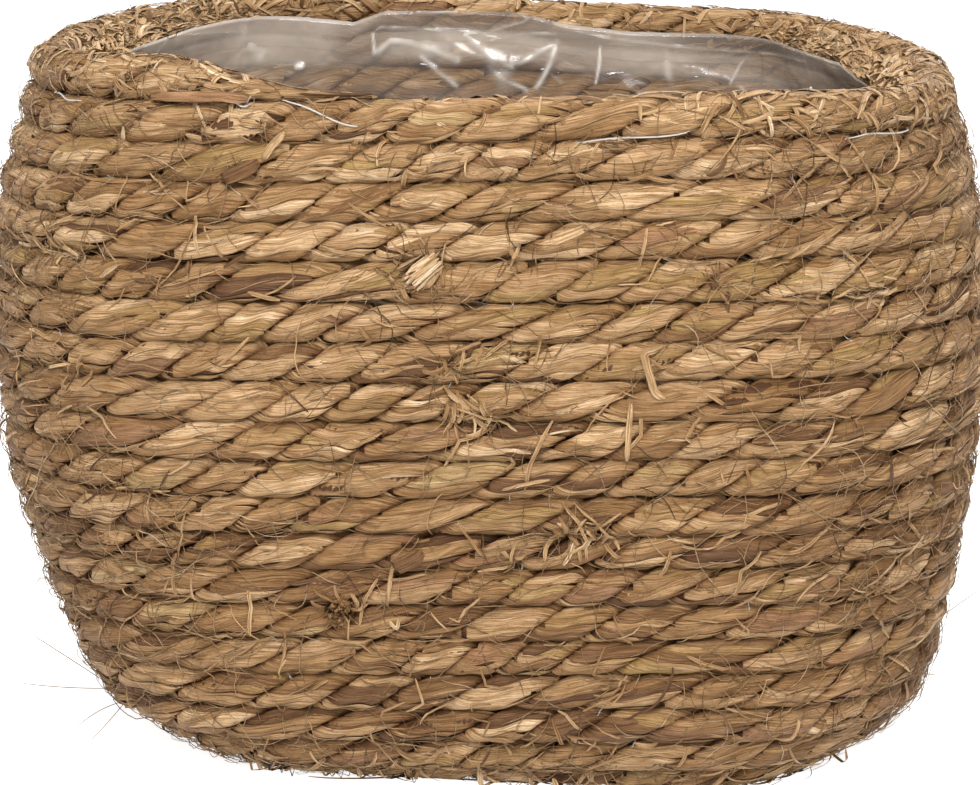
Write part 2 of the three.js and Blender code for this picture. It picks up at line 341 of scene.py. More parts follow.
whole = np.random.default_rng(11)
lay_wander = wander(whole, rope.length, 40, 0.8)
lift_wander = wander(whole, rope.length, 70, 0.28)
sink_wander = wander(whole, rope.length, 60, 0.35)
ply_size = [wander(whole, rope.length, 24, 0.09) for _ in range(2)]
ply_width = [wander(whole, rope.length, 22, 0.08) for _ in range(2)]


def lay_angle(s):
    """How far the plies have turned about the rope, from out towards up."""
    return TWO_PI * s / PLY_PITCH + lay_wander(s)


def tail_size(s):
    """The rope's last end thins out over a long way, and lies down on the course below."""
    left = (rope.length - s) / (rope.length - rope.s_of_turn(LAST_TURN - TAIL_TAPER_TURNS))
    return rising(TAIL_TIP_SIZE, eased(0.5 * left + 0.5 * np.clip(left, 0, 1) ** 2))


class Rows:
    """The rope's place, directions and make at each of some distances along it."""

    def __init__(self, s):
        inside = np.clip(s, 0, rope.length)
        self.s = s
        names = ("place", "along", "out", "up", "room_above", "room_below")
        self.values = {name: rope.at(inside, name) for name in names}
        self.values["place"] = self.values["place"] + self.values["along"] * (s - inside)[:, None]
        self.values["lay"] = lay_angle(s)
        self.values["small"] = tail_size(inside)
        self.values["sink"] = sink_wander(s)
        self.values["lift"] = lift_wander(s)
        for ply in range(2):
            self.values["size", ply] = 1 + ply_size[ply](s)
            self.values["width", ply] = 1 + ply_width[ply](s)

    def cut(self, rows):
        """Some of the rows, with all that is known of them."""
        part = Rows.__new__(Rows)
        part.s = self.s[rows]
        part.values = {name: values[rows] for name, values in self.values.items()}
        return part

    def column(self, name):
        return self.values[name][:, None]


def ply_surface(rows, ply, angle, lift):
    """Points of one ply: a row for each distance along the rope, at directions angle from out towards up."""
    turned = rows.column("lay") + ply * math.pi
    beta = angle - turned
    radial = np.abs(np.cos(beta) / (PLY_RADIAL * rows.column(("size", ply))))
    across = np.abs(np.sin(beta) / (PLY_ACROSS * rows.column(("width", ply))))
    reach = (radial**PLY_SQUARENESS + across**PLY_SQUARENESS) ** (-1 / PLY_SQUARENESS) + lift
    x = PLY_OFFSET * np.cos(turned) + reach * np.cos(angle)
    y = PLY_OFFSET * np.sin(turned) + reach * np.sin(angle)
    far = np.hypot(x, y)
    kept = 1 / (1 + (far / ROPE_ROUND_LIMIT) ** ROUND_SHARPNESS) ** (1 / ROUND_SHARPNESS)
    x = x * kept
    y = y * kept
    small = rows.column("small")
    room = np.where(y > 0, rows.column("room_above"), rows.column("room_below"))
    y = y * room / (PITCH / 2) * COURSE_PRESS
    x = x * small + rows.column("sink")
    y = y * small - (1 - small) * rows.column("room_below") + rows.column("lift") * small
    points = (
        rows.values["place"][:, None]
        + rows.values["out"][:, None] * x[..., None]
        + rows.values["up"][:, None] * y[..., None]
    )
    return points, beta, far


GROUND_CLEARANCE = 0.15


def grid_faces(rows, columns, closed):
    """The corners of a grid's faces. A closed grid's last column joins its first."""
    index = np.arange(rows * columns).reshape(rows, columns)
    if closed:
        index = np.concatenate([index, index[:, :1]], 1)
    return np.stack([index[:-1, :-1], index[1:, :-1], index[1:, 1:], index[:-1, 1:]], -1).reshape(-1, 4)


class Surface:
    """Collects grids of points, with what the material needs to know of each, into one mesh."""

    def __init__(self):
        self.points = []
        self.faces = []
        self.tone = []
        self.fibre = []
        # depth carries painted light: painted shade on straw, and on the film its painted highlights and
        # white lines.
        self.depth = []
        self.count = 0

    def add(self, points, faces, tone, fibre, depth):
        shape = points.shape[:-1]
        self.points.append(points.reshape(-1, 3))
        self.faces.append(faces)
        self.tone.append(np.broadcast_to(tone, shape).reshape(-1))
        self.fibre.append(fibre.reshape(-1, 3))
        self.depth.append(np.broadcast_to(depth, shape).reshape(-1))
        self.count += math.prod(shape)

    def grid(self, points, tone, fibre, depth, keep=None, closed=False):
        faces = grid_faces(*points.shape[:2], closed) + self.count
        if keep is not None:
            faces = faces[keep.reshape(-1)]
        self.add(points, faces, tone, fibre, depth)

    def strips(self, points, tone, fibre, depth=1.0, closed=False):
        """Many grids of one size: points is strips by rows by columns, tone one number for each strip."""
        count, rows, columns = points.shape[:3]
        starts = np.arange(count) * rows * columns + self.count
        faces = grid_faces(rows, columns, closed) + starts[:, None, None]
        self.add(points, faces.reshape(-1, 4), tone[:, None, None], fibre, depth)

    def build(self, name, material):
        points = np.concatenate(self.points)
        points[:, 2] = np.maximum(points[:, 2], GROUND_CLEARANCE)
        points = points * MM
        faces = np.concatenate(self.faces)
        used = np.zeros(len(points), bool)
        used[faces.reshape(-1)] = True
        new = np.cumsum(used) - 1
        faces = new[faces]
        mesh = bpy.data.meshes.new(name)
        mesh.vertices.add(int(used.sum()))
        mesh.vertices.foreach_set("co", points[used].astype(np.float32).reshape(-1))
        mesh.loops.add(faces.size)
        mesh.loops.foreach_set("vertex_index", faces.astype(np.int32).reshape(-1))
        mesh.polygons.add(len(faces))
        mesh.polygons.foreach_set("loop_start", np.arange(0, faces.size, 4, dtype=np.int32))
        mesh.polygons.foreach_set("use_smooth", np.ones(len(faces), bool))
        mesh.update(calc_edges=True)
        for key, kind, field, values in (
            ("tone", "FLOAT", "value", self.tone),
            ("depth", "FLOAT", "value", self.depth),
            ("fibre", "FLOAT_VECTOR", "vector", self.fibre),
        ):
            layer = mesh.attributes.new(key, kind, "POINT")
            layer.data.foreach_set(field, np.concatenate(values)[used].astype(np.float32).reshape(-1))
        mesh.materials.append(material)
        piece = bpy.data.objects.new(name, mesh)
        bpy.context.scene.collection.objects.link(piece)
        return piece


# The leaf colours, picked by tone from 0 to 1: browns to pale tans up to PALE_TONE, then greenish and
# red-brown ones.
TONES = [
    (0.00, (92, 62, 38)),
    (0.15, (120, 86, 54)),
    (0.35, (149, 113, 73)),
    (0.50, (168, 133, 94)),
    (0.65, (183, 149, 110)),
    (0.78, (201, 168, 129)),
    (0.84, (216, 190, 158)),
    (0.89, (160, 130, 82)),
    (0.95, (156, 117, 84)),
    (1.00, (130, 96, 67)),
]
PALE_TONE = 0.84
# The core's dark tone, painted shade inside the plies.
CORE_SHADE_TONE = 0.10


def linear(srgb):
    scaled = [c / 255 for c in srgb]
    return [c / 12.92 if c <= 0.04045 else ((c + 0.055) / 1.055) ** 2.4 for c in scaled]


# Leaves get browner, greener and darker from the first of these heights down to the second, the darkening
# partly painted shade, and a band about the third is darker still.
BROWNER_AND_SHADED_BELOW = 160
BROWNEST_AND_MOST_SHADED_AT = 65
DARKEST_BAND_AT = 88
DARK_BAND_SPREAD = 16


def leaf_tone(rng, height):
    """Mostly tans above, browner, greener and darker towards the foot, the darkening partly painted shade,
    with a few odd leaves.
    """
    low = 1 - min(max((height - BROWNEST_AND_MOST_SHADED_AT) / (BROWNER_AND_SHADED_BELOW - BROWNEST_AND_MOST_SHADED_AT), 0), 1)
    dark_band = math.exp(-(((height - DARKEST_BAND_AT) / DARK_BAND_SPREAD) ** 2))
    pick = rng.random()
    if pick < 0.04 + 0.05 * low:
        return rng.uniform(0.03, 0.2)
    if pick < 0.10 + 0.12 * low:
        return rng.uniform(0.88, 0.92)
    if pick < 0.12 + 0.15 * low:
        return rng.uniform(0.94, 1.0)
    return float(np.clip(rng.normal(0.56 - 0.13 * low - 0.07 * dark_band, 0.15), 0.1, 0.79))


# Across a leaf: where its columns lie, how high each stands, and how light its painted shade leaves it,
# darkest at the edge tucked under its neighbour.
LEAF_COLUMNS = np.array([0.0, 0.1, 0.45, 0.85, 1.0])
LEAF_LIFT = np.array([-0.36, -0.05, 0.08, 0.26, 0.28])
LEAF_EDGE_SHADE = np.array([0.3, 0.8, 1.0, 1.0, 0.75])
LEAF_LAP = 0.12
LEAF_TIP_WIDTH = 0.14
LEAF_TIP_BENT = 7
LEAF_START_WIDTH = 0.35
LEAF_START_DEEP = 0.5
LEAF_TEXTURE_RADIUS = 4.2
HIDDEN_START = 17.0
# Depth, which is painted shade, goes from 0 to 1 between these distances from the rope's middle, on leaves
# and on fine strands.
SHADE_FROM = 2.8
SHADE_TO = 5.8
STRAND_SHADE_TO = 5.6
# The core is a plain tube inside each ply, a little smaller than it, painted dark as shade.
CORE_SIDES = 12
CORE_LIFT = -0.5
CORE_PAINTED_SHADE = 0.45
# How far the leaves run past the two ends of a rope length, so that no seam shows.
START_OVERLAP = 10
END_OVERLAP = 14
FIBRE_SPREAD = 500


def signed_turn(angle):
    """The same angle between minus half a turn and half a turn."""
    return (angle + math.pi) % TWO_PI - math.pi


def fibre_places(across, along, layer=0.0):
    """Places in the straw's texture: across the fibres, along them, and in which layer of it."""
    return np.stack(np.broadcast_arrays(across, along, layer), -1)


def leaf_strip(surface, rng, rows, ply, left, wide, tip_length, tucked_length, lift_more):
    """One flat leaf along a ply, narrow and tucked in where it starts, and pointed where it ends."""
    from_start = rows.s - rows.s[0]
    to_end = rows.s[-1] - rows.s
    started = bend(from_start, 0, tucked_length)
    taper = rising(LEAF_TIP_WIDTH, bend(to_end, 0, tip_length))
    taper = (taper * rising(LEAF_START_WIDTH, started))[:, None]
    shift = rng.uniform(0.15, 0.85)
    angle = left[:, None] + wide[:, None] * (shift * (1 - taper) + LEAF_COLUMNS * taper * (1 + LEAF_LAP))
    wandering = from_start[-1] + 40
    lift_along = wander(rng, wandering, 14, 0.09)(from_start) + rng.normal(0, 0.06)
    tucked = -LEAF_START_DEEP * (1 - started)
    tip = rng.uniform(-0.2, 0.3) * (1 - bend(to_end, 0, LEAF_TIP_BENT))
    crown = (0.04 + 0.16 * np.clip(wide, 0, 1.4))[:, None] * (4 * LEAF_COLUMNS * (1 - LEAF_COLUMNS))
    curl = np.maximum(0, wander(rng, wandering, 17, 0.3)(from_start) - 0.25)
    lift = LEAF_LIFT + crown + (lift_along + tucked + tip + lift_more)[:, None]
    lift = lift + curl[:, None] * LEAF_COLUMNS**3
    points, beta, far = ply_surface(rows, ply, angle, lift)
    middle = signed_turn(beta)[:, 1:4].mean(1)
    keep = np.repeat((np.abs(middle[:-1]) < HIDDEN_ANGLE)[:, None], len(LEAF_COLUMNS) - 1, 1)
    tone = leaf_tone(rng, points[:, 2, 2].mean())
    across = (angle - angle[:, :1]) * LEAF_TEXTURE_RADIUS + rng.uniform(0, FIBRE_SPREAD)
    fibre = fibre_places(across, rows.s[:, None], rng.uniform(0, 50))
    # Depth is painted shade: darker towards the rope's middle and at the leaf's edges.
    surface.grid(points, tone, fibre, bend(far, SHADE_FROM, SHADE_TO) * LEAF_EDGE_SHADE, keep)


def ply_core(surface, rows, ply):
    """The inside of a ply, painted dark as shade, which shows between its leaves."""
    core = rows.cut(slice(None, None, 2))
    angle = np.linspace(0, TWO_PI, CORE_SIDES + 1)[None] + LEAF_SLANT * core.column("lay")
    points, beta, _ = ply_surface(core, ply, angle, CORE_LIFT)
    keep = np.abs(signed_turn(beta)[:-1, :-1]) < HIDDEN_ANGLE + 0.3
    surface.grid(points, CORE_SHADE_TONE, fibre_places(angle * 4, core.s[:, None], ply * 7.0), CORE_PAINTED_SHADE, keep)


def leaf_edges(rng, rows):
    """The angles of the edges between a ply's leaves, which share the way round unevenly."""
    along = rows.s - rows.s[0]
    weight = np.stack([np.exp(wander(rng, along[-1], 75, 0.5)(along)) for _ in range(LEAVES)], -1)
    edges = np.concatenate([np.zeros((len(along), 1)), np.cumsum(weight, 1)], 1)
    edges = edges / edges[:, -1:] * TWO_PI
    twist = LEAF_SLANT * rows.values["lay"] + wander(rng, along[-1], 42, 0.7)(along)
    return edges + twist[:, None]


def ply_leaves(surface, rng, rows, ply, ragged_end):
    """Leaves 40 to 130 mm long follow one another in each place round the ply."""
    edges = leaf_edges(rng, rows)
    for leaf in range(LEAVES):
        begin = int(rng.uniform(0, 6))
        final = len(rows.s) - 1 - int(rng.uniform(0, ragged_end / RING_STEP))
        while begin < final - 4:
            end = min(begin + int(rng.uniform(40, 130) / RING_STEP), final)
            if final - end < 10:
                end = final
            span = slice(max(begin - int(HIDDEN_START / RING_STEP), 0), end + 1)
            left = edges[span, leaf]
            wide = edges[span, leaf + 1] - left
            leaf_strip(surface, rng, rows.cut(span), ply, left, wide, rng.uniform(10, 22), 12, 0)
            begin = end


def narrow_leaves(surface, rng, rows, ply):
    """Narrow leaves that bulge from the ply, one for every 25 mm."""
    count = len(rows.s)
    for _ in range(int((rows.s[-1] - rows.s[0]) / 25)):
        start = int(rng.uniform(0, count - 12))
        part = rows.cut(slice(start, min(start + int(rng.uniform(18, 55) / RING_STEP), count)))
        turned = part.values["lay"][0] + ply * math.pi + rng.uniform(-1.7, 1.7)
        left = turned + rng.normal(-0.03, 0.05) * (part.s - part.s[0])
        wide = np.full(len(part.s), rng.uniform(0.3, 0.85))
        bulge = 0.42 * np.sin(math.pi * np.linspace(0.08, 1, len(part.s)))
        leaf_strip(surface, rng, part, ply, left, wide, rng.uniform(8, 16), 8, bulge)


def rope_piece(name, first, last, seed, material):
    """One length of the rope: each ply is a core, painted dark as shade, under long flat leaves whose edges
    lap.
    """
    rng = np.random.default_rng(seed)
    surface = Surface()
    at_tail = last > rope.length - 1
    begin = first - (START_OVERLAP if first > 1 else 0)
    rows = Rows(np.arange(begin, last + (0 if at_tail else END_OVERLAP), RING_STEP))
    for ply in range(2):
        ply_core(surface, rows, ply)
        ply_leaves(surface, rng, rows, ply, 25 if at_tail else 12)
        narrow_leaves(surface, rng, rows, ply)
    return surface.build(name, material)


class Nodes:
    """Makes one material of nodes."""

    def __init__(self, name):
        self.material = bpy.data.materials.new(name)
        self.material.use_nodes = True
        self.tree = self.material.node_tree
        self.tree.nodes.clear()

    def add(self, kind, inputs, output=0, **settings):
        """Adds a node and gives one of its outputs. An input that is another node's output is linked."""
        node = self.tree.nodes.new("ShaderNode" + kind)
        for key, value in settings.items():
            setattr(node, key, value)
        for key, value in inputs.items():
            if isinstance(value, bpy.types.NodeSocket):
                self.tree.links.new(value, node.inputs[key])
            else:
                node.inputs[key].default_value = value
        return node.outputs[output]

    def attribute(self, name, output):
        return self.add("Attribute", {}, output, attribute_name=name)

    def calculate(self, operation, *values, **settings):
        return self.add("Math", dict(enumerate(values)), operation=operation, **settings)

    def ramp(self, value, stops):
        """A colour for each value: stops are places from 0 to 1 and their linear colours."""
        node = self.tree.nodes.new("ShaderNodeValToRGB")
        points = node.color_ramp.elements
        while len(points) < len(stops):
            points.new(0.5)
        for point, (place, colour) in zip(points, stops):
            point.position = place
            point.color = (*colour, 1)
        self.tree.links.new(value, node.inputs[0])
        return node.outputs[0]

    def finish(self, inputs):
        """Ends in one shader with these inputs, and gives the material."""
        shader = self.add("BsdfPrincipled", inputs)
        output = self.tree.nodes.new("ShaderNodeOutputMaterial")
        self.tree.links.new(shader, output.inputs["Surface"])
        return self.material


def straw_material():
    """Straw: tone picks the leaf's colour, fibre places its streaks, and depth is painted shade, 0 deep
    between leaves.
    """
    nodes = Nodes("straw")
    fibre = nodes.attribute("fibre", "Vector")

    def streaks(scale, detail, distortion=0.0):
        """Noise that is stretched along the fibres."""
        place = nodes.add("Mapping", {"Vector": fibre, "Scale": scale})
        inputs = {"Vector": place, "Scale": 1, "Detail": detail, "Roughness": 0.6, "Distortion": distortion}
        return nodes.add("TexNoise", inputs, "Fac")

    def remap(value, low, high, new_low, new_high):
        inputs = {"Value": value, "From Min": low, "From Max": high, "To Min": new_low, "To Max": new_high}
        return nodes.add("MapRange", inputs)

    def cracks(scale, width, dark):
        """Thin dark lines along the fibres, where a stretched noise passes its middle."""
        gap = nodes.calculate("ABSOLUTE", nodes.calculate("SUBTRACT", streaks(scale, 2), 0.5))
        return remap(gap, 0.0, width, dark, 1.0)

    def tint(a, b):
        return nodes.add("VectorMath", {0: a, 1: b}, operation="MULTIPLY")

    fine = streaks((3.1, 0.13, 1.0), 3, 0.12)
    broad = streaks((0.9, 0.03, 1.0), 2)
    blotch = streaks((0.35, 0.16, 3.0), 3)
    specks = streaks((3.0, 1.1, 1.0), 2)
    long_cracks = cracks((1.1, 0.012, 1.0), 0.020, 0.46)
    short_cracks = cracks((1.9, 0.035, 1.0), 0.034, 0.60)
    split = nodes.calculate("MULTIPLY", long_cracks, short_cracks)
    shade = remap(fine, 0.3, 0.7, 0.66, 1.24)
    for darker in (
        remap(broad, 0.3, 0.7, 0.92, 1.07),
        remap(blotch, 0.3, 0.7, 0.86, 1.10),
        remap(specks, 0.62, 0.70, 1.0, 0.6),
        split,
    ):
        shade = nodes.calculate("MULTIPLY", shade, darker)
    leaf = nodes.ramp(nodes.attribute("tone", "Fac"), [(place, linear(colour)) for place, colour in TONES])
    # Painted shade: the deeper between the leaves, the darker and browner; and the darker the streaks, the
    # browner too.
    painted_crevice_shade = nodes.ramp(nodes.attribute("depth", "Fac"), [(0.0, (0.30, 0.14, 0.03)), (0.88, (1, 1, 1))])
    inputs = {0: shade, 1: nodes.calculate("POWER", shade, 1.3), 2: nodes.calculate("POWER", shade, 1.9)}
    browner = nodes.add("CombineXYZ", inputs)
    relief = nodes.calculate("MULTIPLY", fine, split)
    return nodes.finish({
        "Base Color": tint(tint(leaf, painted_crevice_shade), browner),
        "Roughness": remap(fine, 0.3, 0.7, 0.75, 0.5),
        "Specular IOR Level": 0.3,
        "Normal": nodes.add("Bump", {"Height": relief, "Strength": 0.9, "Distance": 0.0006}),
    })


straw = straw_material()
ends = [rope.s_of_turn(begin) for _, begin in ROPE_LENGTHS] + [rope.length]
for i, (node, _) in enumerate(ROPE_LENGTHS):
    piece = rope_piece("straw_" + node, ends[i], ends[i + 1], 100 + i, straw)
    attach(piece, "root")
    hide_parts(node)


NEAR = 0.018
TURN_NEAR = 0.02
AROUND_STEP = 0.002
# The straws' skin lies this far out from the rope's middle, and its grooves are this many courses from it.
SKIN = 6.7
GROOVE_AT = 0.53
GROOVE_LEAST = 0.12
RIM_HALF_LENGTH = 131
UP = np.array([0.0, 0.0, 1.0])
ACROSS = np.array([-0.5, 0.0, 0.5])
# A direction that few straws share, so that a ring round each of them can be laid out from it.
SELDOM = np.array([0.3, 0.2, 1.0])


def wall_frame(turn, around):
    """A place of the wall, and the directions along the rope, up the wall and out of it."""
    here = wall_point(turn, around)
    along = unit(wall_point(turn, around + NEAR) - wall_point(turn, around - NEAR))
    up = wall_point(turn + TURN_NEAR, around) - wall_point(turn - TURN_NEAR, around)
    up = unit(up - along * dot(up, along))
    return here, along, up, np.cross(along, up)


def skin(turn, around, lift, dip):
    """Points lift above the courses, and the way out there.

    dip is 1 where they follow the grooves between courses, and 0 where they bridge them.
    """
    here, _, _, out = wall_frame(turn, around)
    phase = turn - around + START_AROUND
    phase = phase - np.round(phase)
    round_out = np.sqrt(np.maximum(GROOVE_LEAST, 1 - (phase / GROOVE_AT) ** 2))
    bulge = SKIN * (1 - dip * (1 - round_out))
    return here + out * (bulge + lift)[..., None], out


def length_around(turn, around):
    """How long one turn of around would be if all of it went at this place's rate."""
    step = wall_point(turn, around + AROUND_STEP) - wall_point(turn, around - AROUND_STEP)
    return np.linalg.norm(step, axis=-1) / (2 * AROUND_STEP)


def walk(turn, around, heading, bends, length):
    """Paths over the wall as rows of turn and around, from each straw's start, heading and turning rates."""
    turns = [turn]
    arounds = [around]
    stride = length / (len(bends) - 1)
    for turning in bends[:-1]:
        speed = length_around(turns[-1], arounds[-1])
        turns.append(turns[-1] + stride * np.sin(heading) / PITCH)
        arounds.append(arounds[-1] + stride * np.cos(heading) / np.maximum(speed, 60))
        heading = heading + turning * stride
    return np.stack(turns, 1), np.stack(arounds, 1)


def path_lengths(paths):
    """How far along its path each point lies."""
    return np.cumsum(np.linalg.norm(np.diff(paths, axis=1, prepend=paths[:, :1]), axis=2), 1)


STRAW_TIP_THICKNESS = 0.45
RIBBON_TIP_WIDTH = 0.3
RIBBON_FOLD = 0.25


def tubes(surface, rng, paths, radius, tone, sides=3):
    """Thin round straws along paths, which are straws by steps by 3, tapered at both ends."""
    count, steps = paths.shape[:2]
    along = unit(np.gradient(paths, axis=1))
    side = unit(np.cross(along, SELDOM))
    other = np.cross(along, side)
    swell = np.sqrt(np.sin(math.pi * np.linspace(0.06, 0.94, steps)))
    thick = radius[:, None] * rising(STRAW_TIP_THICKNESS, swell)
    angle = np.arange(sides) / sides * TWO_PI
    ring = side[:, :, None] * np.cos(angle)[:, None] + other[:, :, None] * np.sin(angle)[:, None]
    points = paths[:, :, None] + ring * thick[:, :, None, None]
    across = angle * 0.3 + rng.uniform(0, FIBRE_SPREAD, (count, 1, 1))
    surface.strips(points, tone, fibre_places(across, path_lengths(paths)[..., None]), closed=True)


def ribbons(surface, rng, paths, facing, width, tone):
    """Flat straws along paths, their faces turned towards facing, a little folded along the middle."""
    count, steps = paths.shape[:2]
    along = unit(np.gradient(paths, axis=1))
    side = unit(np.cross(facing, along))
    lift = unit(np.cross(along, side))
    t = np.linspace(0, 1, steps)
    wide = width[:, None] * rising(RIBBON_TIP_WIDTH, np.minimum(1, 5 * np.minimum(t + 0.04, 1.04 - t)))
    fold = (0.5 - np.abs(ACROSS)) * RIBBON_FOLD * wide[..., None]
    points = (
        paths[:, :, None]
        + side[:, :, None] * (ACROSS * wide[..., None])[..., None]
        + lift[:, :, None] * fold[..., None]
    )
    across = ACROSS * wide[..., None] + rng.uniform(0, FIBRE_SPREAD, (count, 1, 1))
    surface.strips(points, tone, fibre_places(across, path_lengths(paths)[..., None]))


def mixed_straws(surface, rng, paths, facing, flat, radius, width, tone):
    """Round straws, and flat ones where flat is true. Radius and width are each drawn between two values."""
    tubes(surface, rng, paths[~flat], rng.uniform(*radius, (~flat).sum()), tone[~flat])
    ribbons(surface, rng, paths[flat], facing[flat], rng.uniform(*width, flat.sum()), tone[flat])


# How far to each side of a round end's middle its straws count as near it, in around.
END_REACH = 0.095


def near_end(around):
    """Where around lies by one of the basket's two round ends."""
    half_turn = (around + 0.25) % 0.5
    return np.abs(half_turn - 0.5 * np.round(half_turn / 0.5)) < END_REACH


def spread_over_wall(rng, count, end_weight):
    """Starts over the wall: a place by the basket's ends weighs end_weight, one elsewhere the rest of 1."""
    tries = count * 3
    s = rng.uniform(rope.s_of_turn(BASE_TURNS + 0.6), rope.s_of_turn(LAST_TURN - 1.2), tries)
    on_rope = rope.at(s, "turn")
    turn = on_rope + rng.uniform(-0.5, 0.5, tries)
    around = on_rope + START_AROUND
    weight = np.where(near_end(around), end_weight, 1 - end_weight)
    chosen = rng.choice(tries, count, replace=False, p=weight / weight.sum())
    return turn[chosen], around[chosen]


def straw_tones(rng, count):
    """Mostly pale straw, with a few dark and a few red-brown ones."""
    tone = rng.normal(0.66, 0.12, count)
    odd = rng.random(count)
    tone = np.where(odd < 0.06, rng.uniform(0.02, 0.2, count), np.clip(tone, 0.2, 0.82))
    return np.where(odd > 0.96, rng.uniform(0.93, 1.0, count), tone)


def either_way(rng, mean, spread, count):
    """Headings about mean, half of them turned right round."""
    return rng.normal(mean, spread, count) + np.where(rng.random(count) < 0.5, 0, math.pi)


def turning_rates(rng, steps, count, wiggle, curve):
    """How fast each straw turns at each step: its own curve, and wiggles along it."""
    return rng.normal(0, wiggle, (steps, count)) + rng.normal(0, curve, count)


# How deep in the rope a loose straw's root is, and its far end where that is tucked in.
ROOT_DEEP = 1.2
TUCK_DEEP = 0.8
RIM_CLEAR_TURNS = 0.35


def lie_on_wall(turn, around, length, heading, bends, height, tuck_end, dip):
    """Paths that leave the rope, rise to height and come back in, or stay out where tuck_end is 0."""
    turns, arounds = walk(turn, around, heading, bends, length)
    turns = np.minimum(turns, LAST_TURN - RIM_CLEAR_TURNS)
    t = np.linspace(0, 1, len(bends))
    rise = -ROOT_DEEP * (1 - bend(t, 0, 0.25)) + height[:, None] * np.sin(math.pi * t * 0.6) / 0.95
    rise = rise - (height[:, None] + TUCK_DEEP) * tuck_end[:, None] * bend(t, 0.7, 1)
    return skin(turns, arounds, rise, dip)


def loose_hairs(surface, rng, count, steps):
    turn, around = spread_over_wall(rng, count, 0.72)
    length = rng.gamma(3.0, 3.2, count) + 4
    heading = either_way(rng, 0.2, 0.7, count)
    bends = turning_rates(rng, steps, count, 0.05, 0.07)
    height = np.abs(rng.normal(0.4, 0.7, count))
    tuck = (rng.random(count) < 0.45).astype(float)
    paths, _ = lie_on_wall(turn, around, length, heading, bends, height, tuck, 0.55)
    tubes(surface, rng, paths, rng.uniform(0.09, 0.19, count), straw_tones(rng, count))


def broken_flats(surface, rng, count, steps):
    """Flat straws, some of them kinked at one place."""
    turn, around = spread_over_wall(rng, count, 0.6)
    length = rng.gamma(3.0, 3.0, count) + 4
    heading = either_way(rng, 0.25, 0.75, count)
    bends = turning_rates(rng, steps, count, 0.03, 0.035)
    kinked = np.where(rng.random(count) < 0.22, 1, 0)
    kinked = kinked * rng.choice([-1, 1], count) * rng.uniform(0.7, 2.0, count)
    kink_step = rng.integers(3, steps - 3, count)
    bends[kink_step, np.arange(count)] += kinked / (length / (steps - 1))
    height = np.abs(rng.normal(0.3, 0.5, count))
    tuck = (rng.random(count) < 0.6).astype(float)
    paths, out = lie_on_wall(turn, around, length, heading, bends, height, tuck, 0.5)
    facing = out + rng.normal(0, 0.3, (count, 1, 3))
    ribbons(surface, rng, paths, facing, rng.uniform(0.4, 1.3, count), straw_tones(rng, count) - 0.08)


def strays(surface, rng, count, steps):
    """Longer hairs that stand off the wall."""
    turn, around = spread_over_wall(rng, count, 0.85)
    length = rng.uniform(16, 38, count)
    heading = rng.uniform(0, TWO_PI, count)
    bends = turning_rates(rng, steps, count, 0.02, 0.02)
    height = rng.uniform(2.5, 7.0, count)
    paths, _ = lie_on_wall(turn, around, length, heading, bends, height, np.zeros(count), 0.3)
    tubes(surface, rng, paths, rng.uniform(0.13, 0.2, count), straw_tones(rng, count))


def loose_straws():
    rng = np.random.default_rng(77)
    surface = Surface()
    loose_hairs(surface, rng, 5600, 8)
    broken_flats(surface, rng, 850, 11)
    strays(surface, rng, 70, 12)
    return surface


# Fuzz starts this far out from the rope's middle, and keeps this low over it.
FUZZ_START = 6.1
FUZZ_TOP = 6.6
FUZZ_ROOT_DEEP = 1.0


def wrapped_straws(surface, rng, s, angle, length, heading, curl, rise, radius, flat_share):
    """Straws that follow the rope's own round surface from distance s and direction angle."""
    count = len(s)
    steps = 8
    t = np.linspace(0, 1, steps)
    turning = heading[:, None] + curl[:, None] * t * length[:, None]
    stride = length[:, None] / (steps - 1)
    distance = s[:, None] + np.cumsum(stride * np.cos(turning), 1)
    direction = angle[:, None] + np.cumsum(stride * np.sin(turning), 1) / ROPE_HALF_THICKNESS
    distance = np.minimum(distance, rope.length + 4)
    rows = Rows(distance.reshape(-1))
    far = FUZZ_START + rise[:, None] * np.sin(math.pi * t * 0.62) - FUZZ_ROOT_DEEP * (1 - bend(t, 0, 0.3))
    small = rows.values["small"].reshape(count, steps)
    x = far * np.cos(direction) * small
    low = np.minimum(far * np.sin(direction), FUZZ_TOP + 0.4 * rise[:, None])
    y = low * small - (1 - small) * PITCH / 2
    place, out, up = (rows.values[name].reshape(count, steps, 3) for name in ("place", "out", "up"))
    paths = place + out * x[..., None] + up * y[..., None]
    facing = out * np.cos(direction)[..., None] + up * np.sin(direction)[..., None]
    flat = rng.random(count) < flat_share
    mixed_straws(surface, rng, paths, facing, flat, radius, (0.6, 2.0), straw_tones(rng, count))


# How much further in the liner hangs at the left end and at the right end, by the rim.
LEFT_END_GAP = 7.0
RIGHT_END_GAP = 10.0
# The liner: one thin sheet of film, with its hem folded in along the top.
HEM_TURN = 22.95
HEM_WIDTH = 10.5
FILM_INSET = 7.4
FILM_AROUND = 1100
FILM_DEEP = 205.0
# How much higher the hem's edge stands than its course, at places around.
FILM_RISE = np.array([
    (0.00, 0.5), (0.17, 0.5), (0.22, 3.0), (0.25, 4.0), (0.28, 3.2), (0.29, 5.2), (0.31, 2.2), (0.35, 0.9),
    (0.40, 1.0), (0.45, 2.9), (0.49, 6.7), (0.54, 7.4), (0.60, 6.9), (0.625, 3.0), (0.66, 4.5), (0.70, 8.6),
    (0.72, 9.0), (0.75, 8.0), (0.80, 4.0), (0.85, 0.5), (1.00, 0.5),
])


